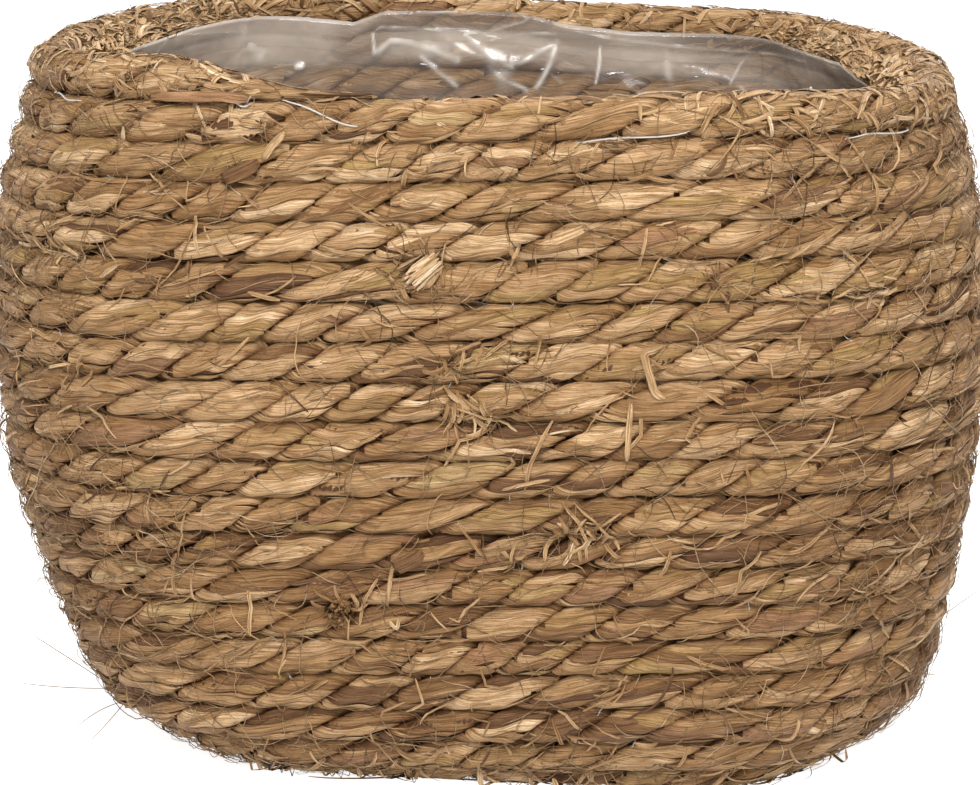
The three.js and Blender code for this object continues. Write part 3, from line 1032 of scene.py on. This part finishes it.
def lattice_noise(rng, u, v, cells_u, cells_v):
    """Smooth random values over a sheet that closes on itself along u, which runs from 0 to 1."""
    grid = rng.random((cells_u, cells_v + 2))
    x = (u % 1) * cells_u
    y = np.clip(v, 0, 1) * cells_v
    i = np.floor(x).astype(int)
    j = np.floor(y).astype(int)
    fx = eased(x - i)
    fy = eased(y - j)
    i0 = i % cells_u
    i1 = (i + 1) % cells_u
    low = grid[i0, j] * (1 - fx) + grid[i1, j] * fx
    high = grid[i0, j + 1] * (1 - fx) + grid[i1, j + 1] * fx
    return low * (1 - fy) + high * fy


def film_point(around, down, inward):
    """A point of the film: down millimetres below the hem's edge along the wall, inward off the rope."""
    here, _, _, out = wall_frame(HEM_TURN - down / PITCH, around)
    end = bend(np.abs(here[..., 0]) / RIM_HALF_LENGTH, 0.62, 1.0)
    near_top = 1 - bend(down, 4, 42)
    gap = np.where(here[..., 0] > 0, RIGHT_END_GAP, LEFT_END_GAP)
    inset = FILM_INSET + inward + near_top * (1 + end * gap)
    raised = near_top * np.interp(around % 1, FILM_RISE[:, 0], FILM_RISE[:, 1])
    return here - out * inset[..., None] + UP * raised[..., None]


def end_gap(around):
    """How much further in than along the sides the liner hangs, by the rim."""
    x = wall_point(LAST_TURN - 0.6, around)[..., 0]
    side = np.where(x > 0, 1, LEFT_END_GAP / RIGHT_END_GAP)
    return RIGHT_END_GAP * bend(np.abs(x) / RIM_HALF_LENGTH, 0.74, 1.0) * side


def mat_point(around, across, lift):
    """The matted straw at each end: across is 0 on top of the rim and 1 at the liner."""
    turn = LAST_TURN - (LAST_TURN + START_AROUND - around) % 1
    here, _, up, out = wall_frame(turn, around)
    outer = here + up * 4.4 - out * 2.4
    inner = film_point(around, np.full(np.shape(around), 1.5), np.full(np.shape(around), -0.9))
    crown = 0.8 * 4 * across * (1 - across) * bend(end_gap(around), 0.5, 4) + lift
    return outer + (inner - outer) * across[..., None] + UP * crown[..., None]


# Lumps of the mats round the basket and across them, and millimetres from the rim's top to the liner.
MAT_LUMPS = (44, 3)
MAT_WIDTH = 17


def mat_lumps(rng, from_middle, across, size):
    return lattice_noise(rng, from_middle * 2 + 0.5, np.clip(across, 0, 1), *MAT_LUMPS) * size


def mat_bed(surface, rng, middle):
    """The lumpy ground of a mat, which sinks away at its edges."""
    around, across = np.meshgrid(
        np.linspace(middle - 0.1, middle + 0.1, 240), np.linspace(-0.05, 1.0, 14), indexing="ij"
    )
    lumps = mat_lumps(rng, around - middle, across, 3.0)
    fade = 1 - bend(np.abs(around - middle), 0.065, 0.088)
    bed = mat_point(around, across, lumps - 2.4 - 7 * (1 - fade) - 5 * bend(-across, 0, 0.05))
    # The bed's depth of 0.85 paints a little shade on it.
    surface.grid(bed, 0.6, fibre_places(around * 900, across * 30), 0.85)


def mat_straws(surface, rng, middle, towards_back, count, flat):
    """Short broken leaves that lie matted on the bed."""
    steps = 7
    around = middle + towards_back * rng.uniform(-0.052, 0.082, count)
    across = rng.uniform(-0.1, 0.97, count)
    speed = length_around(23, around)
    length = rng.gamma(4.0, 2.0, count) + 4
    heading = rng.uniform(0, TWO_PI, count)
    t = np.linspace(0, 1, steps)
    turning = heading[:, None] + rng.normal(0, 1.1, (count, 1)) * t
    stride = length[:, None] / (steps - 1)
    arounds = around[:, None] + np.cumsum(stride * np.cos(turning), 1) / speed[:, None]
    acrosses = np.clip(across[:, None] + np.cumsum(stride * np.sin(turning), 1) / MAT_WIDTH, -0.3, 0.99)
    sunk = 6 * bend(np.abs(arounds - middle), 0.068, 0.09)
    lift = -1.7 + rng.uniform(1.0, 2.8, (count, 1)) * np.sin(math.pi * t * 0.9) - sunk
    lift = lift + mat_lumps(rng, arounds - middle, acrosses, 1.4)
    paths = mat_point(arounds, acrosses, lift)
    tone = rng.uniform(0.68, PALE_TONE, count)
    if flat:
        facing = np.broadcast_to(UP + rng.normal(0, 0.45, (count, 1, 3)), paths.shape)
        ribbons(surface, rng, paths, facing, rng.uniform(1.0, 3.0, count), tone)
    else:
        tubes(surface, rng, paths, rng.uniform(0.1, 0.22, count), tone)


def rim_fuzz(surface, rng, tries):
    """Short straws that cling to the top of the rim, most of all at the two ends."""
    s = rng.uniform(rope.s_of_turn(LAST_TURN - 1.0), rope.length - 8, tries)
    at_end = near_end(rope.at(s, "turn") + START_AROUND)
    kept = at_end | (rng.random(tries) < 0.35)
    s = s[kept]
    count = len(s)
    angle = rng.uniform(-0.6, 3.6, count)
    length = rng.gamma(3.0, 2.3, count) + 3
    heading = either_way(rng, 0, 1.0, count)
    curl = rng.normal(0, 0.06, count)
    rise = np.abs(rng.normal(0.3, 0.5, count)) + np.where(at_end[kept], 0.6, 0)
    wrapped_straws(surface, rng, s, angle, length, heading, curl, rise, (0.09, 0.18), 0.4)


def foot_fringe(surface, rng, count):
    """Frayed straws that hang out round the lowest courses."""
    s = rng.uniform(rope.s_of_turn(BASE_TURNS + 0.28), rope.s_of_turn(BASE_TURNS + 1.1), count)
    heading = either_way(rng, 0, 0.6, count)
    angle = rng.uniform(-1.0, 0.1, count)
    length = rng.gamma(3.0, 3.5, count) + 5
    curl = rng.normal(0, 0.05, count)
    rise = rng.uniform(0.5, 6, count)
    wrapped_straws(surface, rng, s, angle, length, heading, curl, rise, (0.12, 0.24), 0.45)


def course_fuzz(surface, rng, first, last, count, up_to):
    """Fine fuzz on the courses between two turns, from their lower side up to an angle."""
    s = rng.uniform(rope.s_of_turn(first), rope.s_of_turn(last), count)
    angle = rng.uniform(-1.3, up_to, count)
    length = rng.gamma(3.0, 2.6, count) + 3
    heading = either_way(rng, 0, 1.0, count)
    curl = rng.normal(0, 0.09, count)
    rise = np.abs(rng.normal(0.6, 0.9, count))
    wrapped_straws(surface, rng, s, angle, length, heading, curl, rise, (0.09, 0.18), 0.15)


def rim_straws():
    rng = np.random.default_rng(78)
    surface = Surface()
    rim_fuzz(surface, rng, 3400)
    for middle, towards_back in ((0.25, 1), (0.75, -1)):
        mat_bed(surface, rng, middle)
        mat_straws(surface, rng, middle, towards_back, 1050, flat=True)
        mat_straws(surface, rng, middle, towards_back, 1100, flat=False)
    foot_fringe(surface, rng, 420)
    course_fuzz(surface, rng, LAST_TURN - 2.0, LAST_TURN - 1.0, 1100, 1.4)
    course_fuzz(surface, rng, BASE_TURNS + 0.2, BASE_TURNS + 1.6, 1300, 0.6)
    return surface


def fine_strands():
    """Narrow strands that lie on the plies, partly split from their leaves."""
    rng = np.random.default_rng(83)
    surface = Surface()
    count = 1500
    steps = 9
    t = np.linspace(0, 1, steps)
    for ply in range(2):
        s = rng.uniform(rope.s_of_turn(BASE_TURNS), rope.length - 10, count)
        length = rng.gamma(4.0, 4.0, count) + 8
        along = length[:, None] * t
        rows = Rows((s[:, None] + along).reshape(-1))
        slope = LEAF_SLANT * TWO_PI / PLY_PITCH + rng.normal(0, 0.03, count)
        middle = lay_angle(s) + ply * math.pi + rng.uniform(-1.5, 1.5, count)
        wide = rng.uniform(0.05, 0.15, count)[:, None]
        wide = wide * rising(0.25, np.sin(math.pi * np.linspace(0.05, 0.95, steps)))
        angle = (middle[:, None] + slope[:, None] * length[:, None] * t)[..., None] + wide[..., None] * ACROSS
        lift = -0.3 + (0.5 + 0.3 * rng.random((count, 1))) * np.sin(math.pi * t) ** 0.6
        curl = np.where(rng.random(count) < 0.2, rng.uniform(0.3, 1.3, count), 0)[:, None] * t**3
        lift = (lift + curl)[..., None] + (0.5 - np.abs(ACROSS)) * 0.16
        points, _, far = ply_surface(rows, ply, angle.reshape(-1, 3), lift.reshape(-1, 3))
        across = ACROSS * 1.2 + rng.uniform(0, FIBRE_SPREAD, (count, 1, 1))
        shade = bend(far, SHADE_FROM, STRAND_SHADE_TO).reshape(angle.shape)
        fibre = fibre_places(across, along[..., None])
        surface.strips(points.reshape(count, steps, 3, 3), straw_tones(rng, count), fibre, shade)
    return surface


def tuft(surface, rng, turn, around, count, reach, pale=False, spread=math.pi, heading=0.0, lift=1.6):
    """Frayed ends that spring from one place on the wall."""
    steps = 9
    turns = turn + rng.normal(0, 0.09, count)
    arounds = around + rng.normal(0, 0.0035, count)
    headings = heading + rng.uniform(-spread, spread, count)
    length = rng.uniform(0.3, 1.0, count) * reach
    bends = turning_rates(rng, steps, count, 0.07, 0.09)
    height = np.abs(rng.normal(lift, 0.8, count))
    tuck = (rng.random(count) < 0.5).astype(float)
    paths, out = lie_on_wall(turns, arounds, length, headings, bends, height, tuck, 0.6)
    tone = rng.uniform(0.68, PALE_TONE, count) if pale else straw_tones(rng, count) - 0.12
    flat = rng.random(count) < 0.4
    mixed_straws(surface, rng, paths, out, flat, (0.12, 0.22), (0.5, 1.4), tone)


STUB_RADIUS = 3.9


def stub(surface, rng, turn, around, way, length, strips, tone, tone_spread):
    """A cut rope end: a bundle of leaves side by side, its far end ragged. way is along, up and out."""
    here, along, up, out = (found[0] for found in wall_frame(np.array([turn]), np.array([around])))
    start = here + out * 3.5
    axis = unit(along * way[0] + up * way[1] + out * way[2])
    side = unit(np.cross(axis, out))
    other = np.cross(side, axis)
    off_axis = STUB_RADIUS * np.sqrt(rng.random(strips))
    angle = rng.uniform(0, TWO_PI, strips)
    t = np.linspace(0, 1, 6)
    ring = side * np.cos(angle)[:, None] + other * np.sin(angle)[:, None]
    reach = length * rng.uniform(0.75, 1.1, strips)
    flare = 1 + 0.25 * t**2
    paths = (
        start + axis * (reach[:, None] * t)[..., None]
        + ring[:, None] * (off_axis[:, None] * flare)[..., None]
        + rng.normal(0, 0.25, (strips, 1, 3)) * t[None, :, None]
    )
    facing = np.broadcast_to(ring[:, None], paths.shape)
    width = rng.uniform(0.9, 2.2, strips)
    ribbons(surface, rng, paths, facing, width, rng.normal(tone, tone_spread, strips).clip(0, 0.86))


def photo_straws(surface):
    """The cut ends and tufts that the photograph shows, and like ones at the joints that it doesn't."""
    rng = np.random.default_rng(79)
    # The pale cut end in the fifth course from the rim, pointing down to the left.
    stub(surface, rng, 19.32, -0.0195, (-0.72, -0.5, 0.5), 11.0, 80, PALE_TONE - 0.03, 0.035)
    tuft(surface, rng, 19.25, -0.0165, 16, 15, spread=0.5, heading=-1.9, lift=1.8)
    tuft(surface, rng, 19.35, -0.024, 14, 13, spread=2.0, heading=2.6, lift=1.2)
    # The brown round end in a groove below the middle.
    stub(surface, rng, 10.22, -0.0905, (-0.1, -0.25, 1.0), 5.0, 150, 0.42, 0.14)
    tuft(surface, rng, 10.25, -0.0905, 14, 11, lift=1.4)
    # The frayed place right of it, with looped straws, and the open place in the middle of the front.
    tuft(surface, rng, 12.5, 0.0604, 36, 13, lift=1.2)
    tuft(surface, rng, 12.3, 0.0800, 12, 10, lift=1.0)
    tuft(surface, rng, 15.9, -0.0082, 34, 17, spread=0.7, heading=-1.1, lift=1.0)
    tuft(surface, rng, 15.5, 0.012, 26, 14, lift=0.8)
    # White fibrous tufts near both ends of the picture.
    tuft(surface, rng, 18.66, 0.1904, 18, 11, pale=True, spread=1.0, heading=2.8)
    tuft(surface, rng, 19.04, -0.1932, 22, 13, pale=True)
    # The joints at the back, and small tufts all over.
    for turn, around in ((turn_at(16, 0.46), 0.46), (BASE_END, 0.5)):
        tuft(surface, rng, turn, around, 30, 14, lift=1.2)
    for _ in range(26):
        s = rng.uniform(rope.s_of_turn(BASE_TURNS + 1), rope.s_of_turn(LAST_TURN - 1.5))
        turn = float(rope.at(s, "turn"))
        off_course = rng.uniform(-0.4, 0.4)
        tuft(surface, rng, turn + off_course, turn + START_AROUND, int(rng.uniform(8, 20)), 12, lift=1.0)


# Single straws of the photograph: places as turn and around, then width and tone.
PHOTO_STRIPS = [
    (((17.30, 0.1130), (17.15, 0.1015), (16.20, 0.1075), (16.00, 0.1140)), 2.3, 0.66),
    (((15.95, 0.0946), (15.2, 0.0935), (14.40, 0.0932)), 1.7, 0.72),
    (((21.75, -0.1310), (22.1, -0.1265), (22.42, -0.1200)), 2.2, 0.76),
    (((23.10, -0.1800), (23.2, -0.1650), (23.16, -0.1500)), 3.0, 0.95),
    (((21.25, -0.1540), (21.45, -0.1440), (21.70, -0.1330)), 4.2, 0.12),
    (((11.45, -0.0500), (11.65, -0.0400), (11.90, -0.0300)), 5.0, 0.14),
    (((13.30, 0.0560), (12.9, 0.0660), (12.25, 0.0720), (11.90, 0.0560)), 1.0, 0.62),
    (((13.30, 0.0630), (12.9, 0.0760), (12.50, 0.0840), (12.20, 0.0800)), 0.9, 0.58),
    (((10.42, -0.0932), (9.9, -0.0860), (9.24, -0.0904)), 0.7, 0.60),
    (((16.20, -0.0140), (15.7, 0.0010), (15.10, 0.0120)), 1.5, 0.62),
    (((16.10, -0.0060), (15.6, -0.0020), (15.25, -0.0060)), 1.3, 0.55),
]
# Long fibres that stand off the photographed outline: a place on the wall, then their reach in X, Y and Z.
PHOTO_FIBRES = [
    ((6.66, -0.2150), (-27, -6, 3)),
    ((6.80, -0.2150), (-22, -5, 17)),
    ((6.45, -0.2100), (-10, -5, -11)),
    ((6.40, -0.2120), (-14, -5, -7)),
    ((9.10, 0.2168), (14, -8, 14)),
    ((8.10, 0.2060), (12, -10, 10)),
    ((8.00, 0.2080), (11, -8, 2)),
]


def photo_strips(surface):
    rng = np.random.default_rng(84)
    t = np.linspace(0, 1, 15)
    for places, width, tone in PHOTO_STRIPS:
        at = np.linspace(0, len(places) - 1, len(t))
        turns, arounds = (np.interp(at, np.arange(len(places)), column) for column in zip(*places))
        rise = 1.1 - 1.7 * (1 - bend(t, 0, 0.15)) - 1.4 * bend(t, 0.85, 1)
        path, out = skin(turns, arounds, rise, 0.4)
        ribbons(surface, rng, path[None], out[None], np.array([width]), np.array([tone]))
    t = t[:, None]
    for (turn, around), reach in PHOTO_FIBRES:
        start, _ = skin(np.array([turn]), np.array([around]), np.array([-1.0]), 0.5)
        sag = rng.normal(0, 2.0, 3)
        path = start + np.array(reach) * t + sag * (t * (1 - t))
        tubes(surface, rng, path[None], np.array([0.14]), np.array([0.4]), sides=4)


def base_packing(surface):
    """Packed straw inside the base, which closes the small gaps where its inmost courses turn back."""
    rng = np.random.default_rng(85)
    around, share = np.meshgrid(np.linspace(0, 1, 120), np.linspace(0, 1, 14), indexing="ij")
    inmost = wall_point(0.02, around)
    packed = inmost + (wall_point(3.0, around) - inmost) * share[..., None]
    packed[..., 2] += 2.0 * lattice_noise(rng, around, share, 40, 8) - 1.0
    # Its depth of 0.7 paints shade on it.
    surface.grid(packed, 0.45, packed[..., [1, 0, 2]], 0.7)


def declare(piece):
    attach(piece, "root")
    return piece


loose = loose_straws()
photo_straws(loose)
photo_strips(loose)
base_packing(loose)
declare(loose.build("loose_straws", straw))
declare(rim_straws().build("rim_and_foot_fuzz", straw))
declare(fine_strands().build("fine_strands", straw))

NYLON_SPACING = 230.0
NYLON_RADIUS = 0.17


def nylon_stitches():
    """Short clear stitches that draw each course to the one below, about every 230 mm along the rope."""
    rng = np.random.default_rng(80)
    s = np.arange(rope.s_of_turn(BASE_TURNS + 1.5), rope.length - 30, NYLON_SPACING)
    count = len(s)
    turn = rope.at(s + rng.uniform(-60, 60, count), "turn")
    t = np.linspace(-1, 1, 7)
    half = rng.uniform(0.16, 0.26, (count, 1))
    turns = turn[:, None] - 0.5 + half * t
    lean = rng.uniform(-2.5, 2.5, (count, 1))
    arounds = (turn + START_AROUND)[:, None] + lean * t / 900
    lift = np.broadcast_to(-2.8 + 2.2 * np.cos(t * math.pi / 2), turns.shape)
    paths, _ = skin(turns, arounds, lift, 0.75)
    surface = Surface()
    tubes(surface, rng, paths, np.full(count, NYLON_RADIUS), np.full(count, 0.5), sides=5)
    clear = Nodes("nylon").finish({
        "Base Color": (0.6, 0.6, 0.6, 1),
        "Roughness": 0.2,
        "Specular IOR Level": 0.8,
        "Alpha": 0.5,
        "Coat Weight": 0.5,
    })
    return surface.build("nylon_stitches", clear)


declare(nylon_stitches())

# The liner's white sewing thread: where it shows below the rim outside, as turn and around at its two ends.
THREAD_STITCHES = [
    (22.96, -0.2072, 22.88, -0.1972),
    (23.04, -0.1640, 23.04, -0.1476),
    (23.14, -0.1272, 22.58, -0.0684),
    (22.24, 0.0680, 22.62, 0.1492),
    (22.32, 0.1892, 22.48, 0.2068),
]
HIDDEN_THREAD_STITCHES = 5
THREAD_RADIUS = 0.26


def sewing_thread():
    rng = np.random.default_rng(81)
    surface = Surface()
    t = np.linspace(0, 1, 24)
    ends_in = -2.2 * (1 - bend(t, 0, 0.12)) - 2.2 * bend(t, 0.88, 1)
    stitches = list(THREAD_STITCHES)
    for i in range(HIDDEN_THREAD_STITCHES):
        around = 0.29 + 0.1 * i
        groove = LAST_TURN - 1.5 + (around - TAIL_AROUND) % 1
        stitches.append((groove, around - 0.016, groove + 0.06, around + 0.016))
    for turn0, around0, turn1, around1 in stitches:
        turns = turn0 + (turn1 - turn0) * t + 0.05 * np.sin(TWO_PI * t)
        arounds = around0 + (around1 - around0) * t
        path, _ = skin(turns, arounds, ends_in + 0.3 + 0.25 * np.sin(t * 9), 0.55)
        tubes(surface, rng, path[None], np.array([THREAD_RADIUS]), np.array([0.5]), sides=7)
    thread = Nodes("thread").finish({"Base Color": (0.42, 0.39, 0.355, 1), "Roughness": 0.7})
    return surface.build("sewing_thread", thread)


# The film's creases in the photograph, with highlights painted along them: places as around and down, then
# how wide and how white.
CREASE_HIGHLIGHTS = [
    (((0.607, 6.8), (0.603, 13.8)), 0.45, 1.0),
    (((0.600, 13.5), (0.592, 10.5), (0.580, 11.0), (0.560, 13.0), (0.539, 16.0)), 1.0, 0.7),
    (((0.567, 15.0), (0.552, 19.5), (0.538, 23.0)), 0.6, 0.9),
    (((0.534, 8.5), (0.522, 12.0), (0.507, 16.0), (0.497, 17.2)), 0.8, 0.9),
    (((0.514, 14.0), (0.503, 16.8), (0.490, 16.0), (0.482, 13.8), (0.462, 7.5)), 0.6, 0.8),
    (((0.514, 17.8), (0.503, 21.0), (0.486, 23.5)), 0.6, 0.9),
    (((0.462, 7.2), (0.468, 15.0), (0.476, 21.0), (0.479, 22.5)), 0.7, 0.9),
    (((0.428, 7.0), (0.430, 13.0), (0.434, 19.0)), 0.45, 0.9),
    (((0.467, 18.0), (0.460, 19.8)), 0.5, 0.5),
    (((0.376, 7.2), (0.378, 11.5), (0.377, 18.2)), 1.1, 0.5),
    (((0.326, 6.8), (0.329, 10.5), (0.333, 17.5)), 0.4, 0.6),
    (((0.681, 5.0), (0.679, 8.8), (0.675, 13.2)), 1.5, 0.4),
    (((0.664, 16.5), (0.659, 16.4)), 0.7, 1.5),
    (((0.510, 17.0), (0.503, 20.5)), 2.4, 0.7),
    (((0.588, 11.5), (0.550, 14.0)), 3.0, 0.35),
    (((0.574, 0.6), (0.542, 0.6)), 0.8, 0.8),
    (((0.514, 7.0), (0.489, 3.2), (0.483, 0.8)), 0.4, 0.7),
    (
        ((0.469, 1.0), (0.447, 1.8), (0.425, 3.2), (0.396, 3.8), (0.357, 5.5), (0.328, 6.2), (0.307, 4.2)),
        0.5, 0.7,
    ),
    (((0.707, 0.5), (0.694, 3.2), (0.683, 5.0)), 0.4, 0.7),
    (((0.707, 0.2), (0.708, 1.5), (0.711, 5.8)), 0.4, 0.6),
    (((0.604, 6.0), (0.538, 7.2), (0.507, 9.0)), 0.45, 0.9),
    (((0.514, 9.8), (0.463, 4.8)), 0.4, 0.7),
]
SPARE_CREASE_HIGHLIGHTS = 130
# The stretch that the photograph shows, which has no spare crease highlights: from and to around, and down
# to.
SHOWN_FROM = 0.30
SHOWN_TO = 0.71
SHOWN_DOWN = 32
SEAM_DEPTH = 7.5
INNER_ROWS = 8
FLOOR_HEIGHT = 13.6


def draw_crease_highlight(white, along, down, points, width, size):
    """Paints a white highlight on the film near a line through points, each of them along and down in
    millimetres.
    """
    for (x0, y0), (x1, y1) in zip(points[:-1], points[1:]):
        near_x = (along > min(x0, x1) - 4 * width) & (along < max(x0, x1) + 4 * width)
        near = near_x & (down > min(y0, y1) - 4 * width) & (down < max(y0, y1) + 4 * width)
        px = along[near] - x0
        py = down[near] - y0
        t = np.clip((px * (x1 - x0) + py * (y1 - y0)) / max((x1 - x0) ** 2 + (y1 - y0) ** 2, 1e-6), 0, 1)
        away = np.hypot(px - t * (x1 - x0), py - t * (y1 - y0))
        white[near] = np.maximum(white[near], size * np.exp(-((away / width / 1.25) ** 2)))


def crease_highlights(rng, along, down, place_of):
    """How white each point of the film is from the painted highlights along the creases near it. place_of
    turns around into mm along.
    """
    white = np.zeros(down.shape)
    for places, width, size in CREASE_HIGHLIGHTS:
        points = [(float(place_of(around)), depth) for around, depth in places]
        draw_crease_highlight(white, along, down, points, width, size)
    for _ in range(SPARE_CREASE_HIGHLIGHTS):
        x = rng.uniform(0, along.max())
        y = rng.uniform(4, FILM_DEEP - 10)
        if place_of(SHOWN_FROM) < x < place_of(SHOWN_TO) and y < SHOWN_DOWN:
            continue
        angle = rng.uniform(0, math.pi)
        points = [(x, y)]
        for _ in range(3):
            angle += rng.normal(0, 0.5)
            step = rng.uniform(3, 9)
            points.append((points[-1][0] + step * math.cos(angle), points[-1][1] + step * math.sin(angle)))
        draw_crease_highlight(white, along, down, points, rng.uniform(0.4, 0.9), rng.uniform(0.3, 0.9))
    return white


def film_wrinkles(rng, u, v):
    """How far slack and ridges stand in from the wall."""
    wrinkles = lattice_noise(rng, u, v, 26, 8) * 3.0
    ridges = 0
    for cells_u, cells_v, size in ((22, 7, 2.2), (45, 14, 1.2), (83, 27, 0.6)):
        tilt = u + 0.012 * np.sin(v * 5 + cells_u)
        ridge = 1 - np.abs(2 * lattice_noise(rng, tilt, v, cells_u, cells_v) - 1)
        ridges = ridges + size * ridge**5
    return wrinkles + ridges


def film_haze_and_shade(rng, u, v, around, down):
    """Haziest, and lightest, just below the seam; clearer in the hem, and clearer and darker further down,
    which is partly painted shade lower inside the basket.
    """
    clouds = lattice_noise(rng, u, v, 34, 22)
    hem_haze = 0.32 - 0.18 * (1 - bend(np.abs(around - 0.55), 0.05, 0.07))
    haze_and_shade = hem_haze + (0.66 - hem_haze) * bend(down, 6, 9) - 0.5 * bend(down, 14, 18) + 0.7 * (clouds - 0.5)
    more_at_left_end = 0.35 * bend(around, 0.625, 0.65) * (1 - bend(around, 0.75, 0.8))
    return haze_and_shade + more_at_left_end * (1 - bend(down, 30, 45))


def bag_floor(rng, u, wall_end):
    """Rows of points from the wall's lower end to the middle, which lie on the base."""
    middle = np.array([wall_end[:, 0].mean(), 0.0, 0.0])
    rows = []
    for f in np.linspace(0, 1, 26)[1:]:
        row = wall_end + (middle - wall_end) * f
        height = FLOOR_HEIGHT + (wall_end[:, 2] - FLOOR_HEIGHT) * (1 - f) ** 6
        row[:, 2] = height + 0.8 * lattice_noise(rng, u, np.full(u.shape, f), 34, 9) * (1 - f)
        rows.append(row)
    return np.stack(rows, 1)


def liner():
    rng = np.random.default_rng(82)
    # Even steps of length, since a step of around is longer on the sides than at the corners.
    dense = np.linspace(0, 1, 6001)
    ring = wall_point(HEM_TURN, dense)
    length = np.concatenate([[0], np.cumsum(np.linalg.norm(np.diff(ring, axis=0), axis=1))])
    u = np.arange(FILM_AROUND) / FILM_AROUND
    # The rows run up inside the hem, over its edge, and down the wall.
    wall = np.concatenate([np.linspace(0.0, 30, 47)[1:], np.linspace(30, FILM_DEEP, 56)[1:]])
    rows = np.concatenate([np.linspace(HEM_WIDTH, 0, INNER_ROWS), wall])
    U, down = np.meshgrid(u, rows, indexing="ij")
    around = np.broadcast_to(np.interp(u * length[-1], length, dense)[:, None], down.shape)
    is_inner = np.broadcast_to(np.arange(len(rows)) < INNER_ROWS, down.shape)
    v = down / FILM_DEEP
    white = crease_highlights(rng, U * length[-1], down, lambda place: np.interp(place, dense, length))
    white = white * (1 - is_inner) * (0.45 + 0.75 * lattice_noise(rng, U, v, 260, 80))
    settled = rising(0.25, bend(down, 1, 45))
    flatter_below = 1 - 0.5 * bend(down, 150, FILM_DEEP)
    inward = film_wrinkles(rng, U, v) * settled * flatter_below + 0.7 * white
    in_hem = 0.35 * np.sin(math.pi * np.clip(down / HEM_WIDTH, 0, 1)) + 0.12
    points = film_point(around, down, inward + np.where(is_inner, in_hem, 0))
    haze_and_shade = film_haze_and_shade(rng, U, v, around, down)
    seam = 0.35 * np.exp(-(((down - SEAM_DEPTH - lattice_noise(rng, U, v * 0, 40, 1)) / 0.4) ** 2))
    edge = 0.3 * np.exp(-((down / 0.7) ** 2))
    white = np.maximum(white, (seam + edge) * (0.4 + 0.6 * lattice_noise(rng, U, v * 0, 30, 1)))
    floor = bag_floor(rng, u, points[:, -1])
    points = np.concatenate([points, floor], 1).swapaxes(0, 1)
    plain = np.zeros(floor.shape[:2])
    haze_and_shade = np.clip(np.concatenate([haze_and_shade, plain + 0.3], 1), 0, 1)
    white = np.clip(np.concatenate([white, plain], 1), 0, 1)
    surface = Surface()
    surface.grid(points, haze_and_shade.T, points.copy(), white.T, closed=True)
    return surface.build("liner_film", film_material())


def film_material():
    """Clear film: tone is how hazy, and so how light, it is, partly painted shade where it is low; depth is
    how white it is: painted highlights along the creases, and white lines at the seam and the top edge.
    """
    nodes = Nodes("film")
    haze_and_shade = nodes.attribute("tone", "Fac")
    white = nodes.attribute("depth", "Fac")
    hazy_colour = nodes.ramp(haze_and_shade, [(0.0, (0.25, 0.20, 0.17)), (0.8, (0.54, 0.46, 0.385))])
    # Where depth is high the film takes the painted highlight's colour and grows less clear.
    inputs = {"Factor": white, "A": hazy_colour, "B": (0.74, 0.69, 0.63, 1)}
    colour = nodes.add("Mix", inputs, "Result", data_type="RGBA")
    hazy = nodes.calculate("MULTIPLY_ADD", haze_and_shade, 0.42, 0.2)
    solid = nodes.calculate("MULTIPLY_ADD", white, 0.5, hazy, use_clamp=True)
    inputs = {"Vector": nodes.attribute("fibre", "Vector"), "Scale": 0.09, "Detail": 2}
    ripples = nodes.add("TexNoise", inputs, "Fac")
    return nodes.finish({
        "Base Color": colour,
        "Roughness": 0.27,
        "IOR": 1.5,
        "Alpha": solid,
        "Normal": nodes.add("Bump", {"Height": ripples, "Strength": 0.5, "Distance": 0.003}),
        "Specular IOR Level": 0.5,
        "Coat Weight": 0.35,
        "Coat Roughness": 0.1,
        "Coat IOR": 1.6,
    })


film = declare(liner())
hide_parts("liner")
declare(sewing_thread())


def make_floor(far):
    """A plain white floor, which glows a little so that it comes out white."""
    mesh = bpy.data.meshes.new("floor")
    mesh.from_pydata([(-far, -far, 0), (far, -far, 0), (far, far, 0), (-far, far, 0)], [], [(0, 1, 2, 3)])
    mesh.materials.append(Nodes("floor").finish({
        "Base Color": (0.45, 0.45, 0.45, 1),
        "Roughness": 0.9,
        "Emission Color": (1, 1, 1, 1),
        "Emission Strength": 0.9,
    }))
    floor = bpy.data.objects.new("floor", mesh)
    bpy.context.scene.collection.objects.link(floor)


make_floor(6.0)


def add_light(name, place, aim_height, size, power):
    """A square soft light that looks at a point over the middle of the floor."""
    data = bpy.data.lights.new(name, "AREA")
    data.shape = "RECTANGLE"
    data.size = size
    data.size_y = size
    data.energy = power
    light = bpy.data.objects.new(name, data)
    light.location = place
    look = Vector((0, 0, aim_height)) - Vector(place)
    light.rotation_euler = look.to_track_quat("-Z", "Y").to_euler()
    bpy.context.scene.collection.objects.link(light)


add_light("key", (0.09, -1.45, 1.35), 0.12, 0.8, 51.5)
add_light("top", (0.1, 0.1, 1.6), 0.2, 1.2, 15)
add_light("back", (0.3, 1.5, 1.0), 0.1, 1.2, 16)
for side in (-1, 1):
    add_light("side", (side * 1.5, 0.75, 0.9), 0.1, 1.0, 9)

world = bpy.data.worlds.new("world")
bpy.context.scene.world = world
world.use_nodes = True
world.node_tree.nodes["Background"].inputs["Color"].default_value = (1, 0.94, 0.84, 1)
world.node_tree.nodes["Background"].inputs["Strength"].default_value = 0.17
bpy.context.scene.view_settings.view_transform = "Standard"
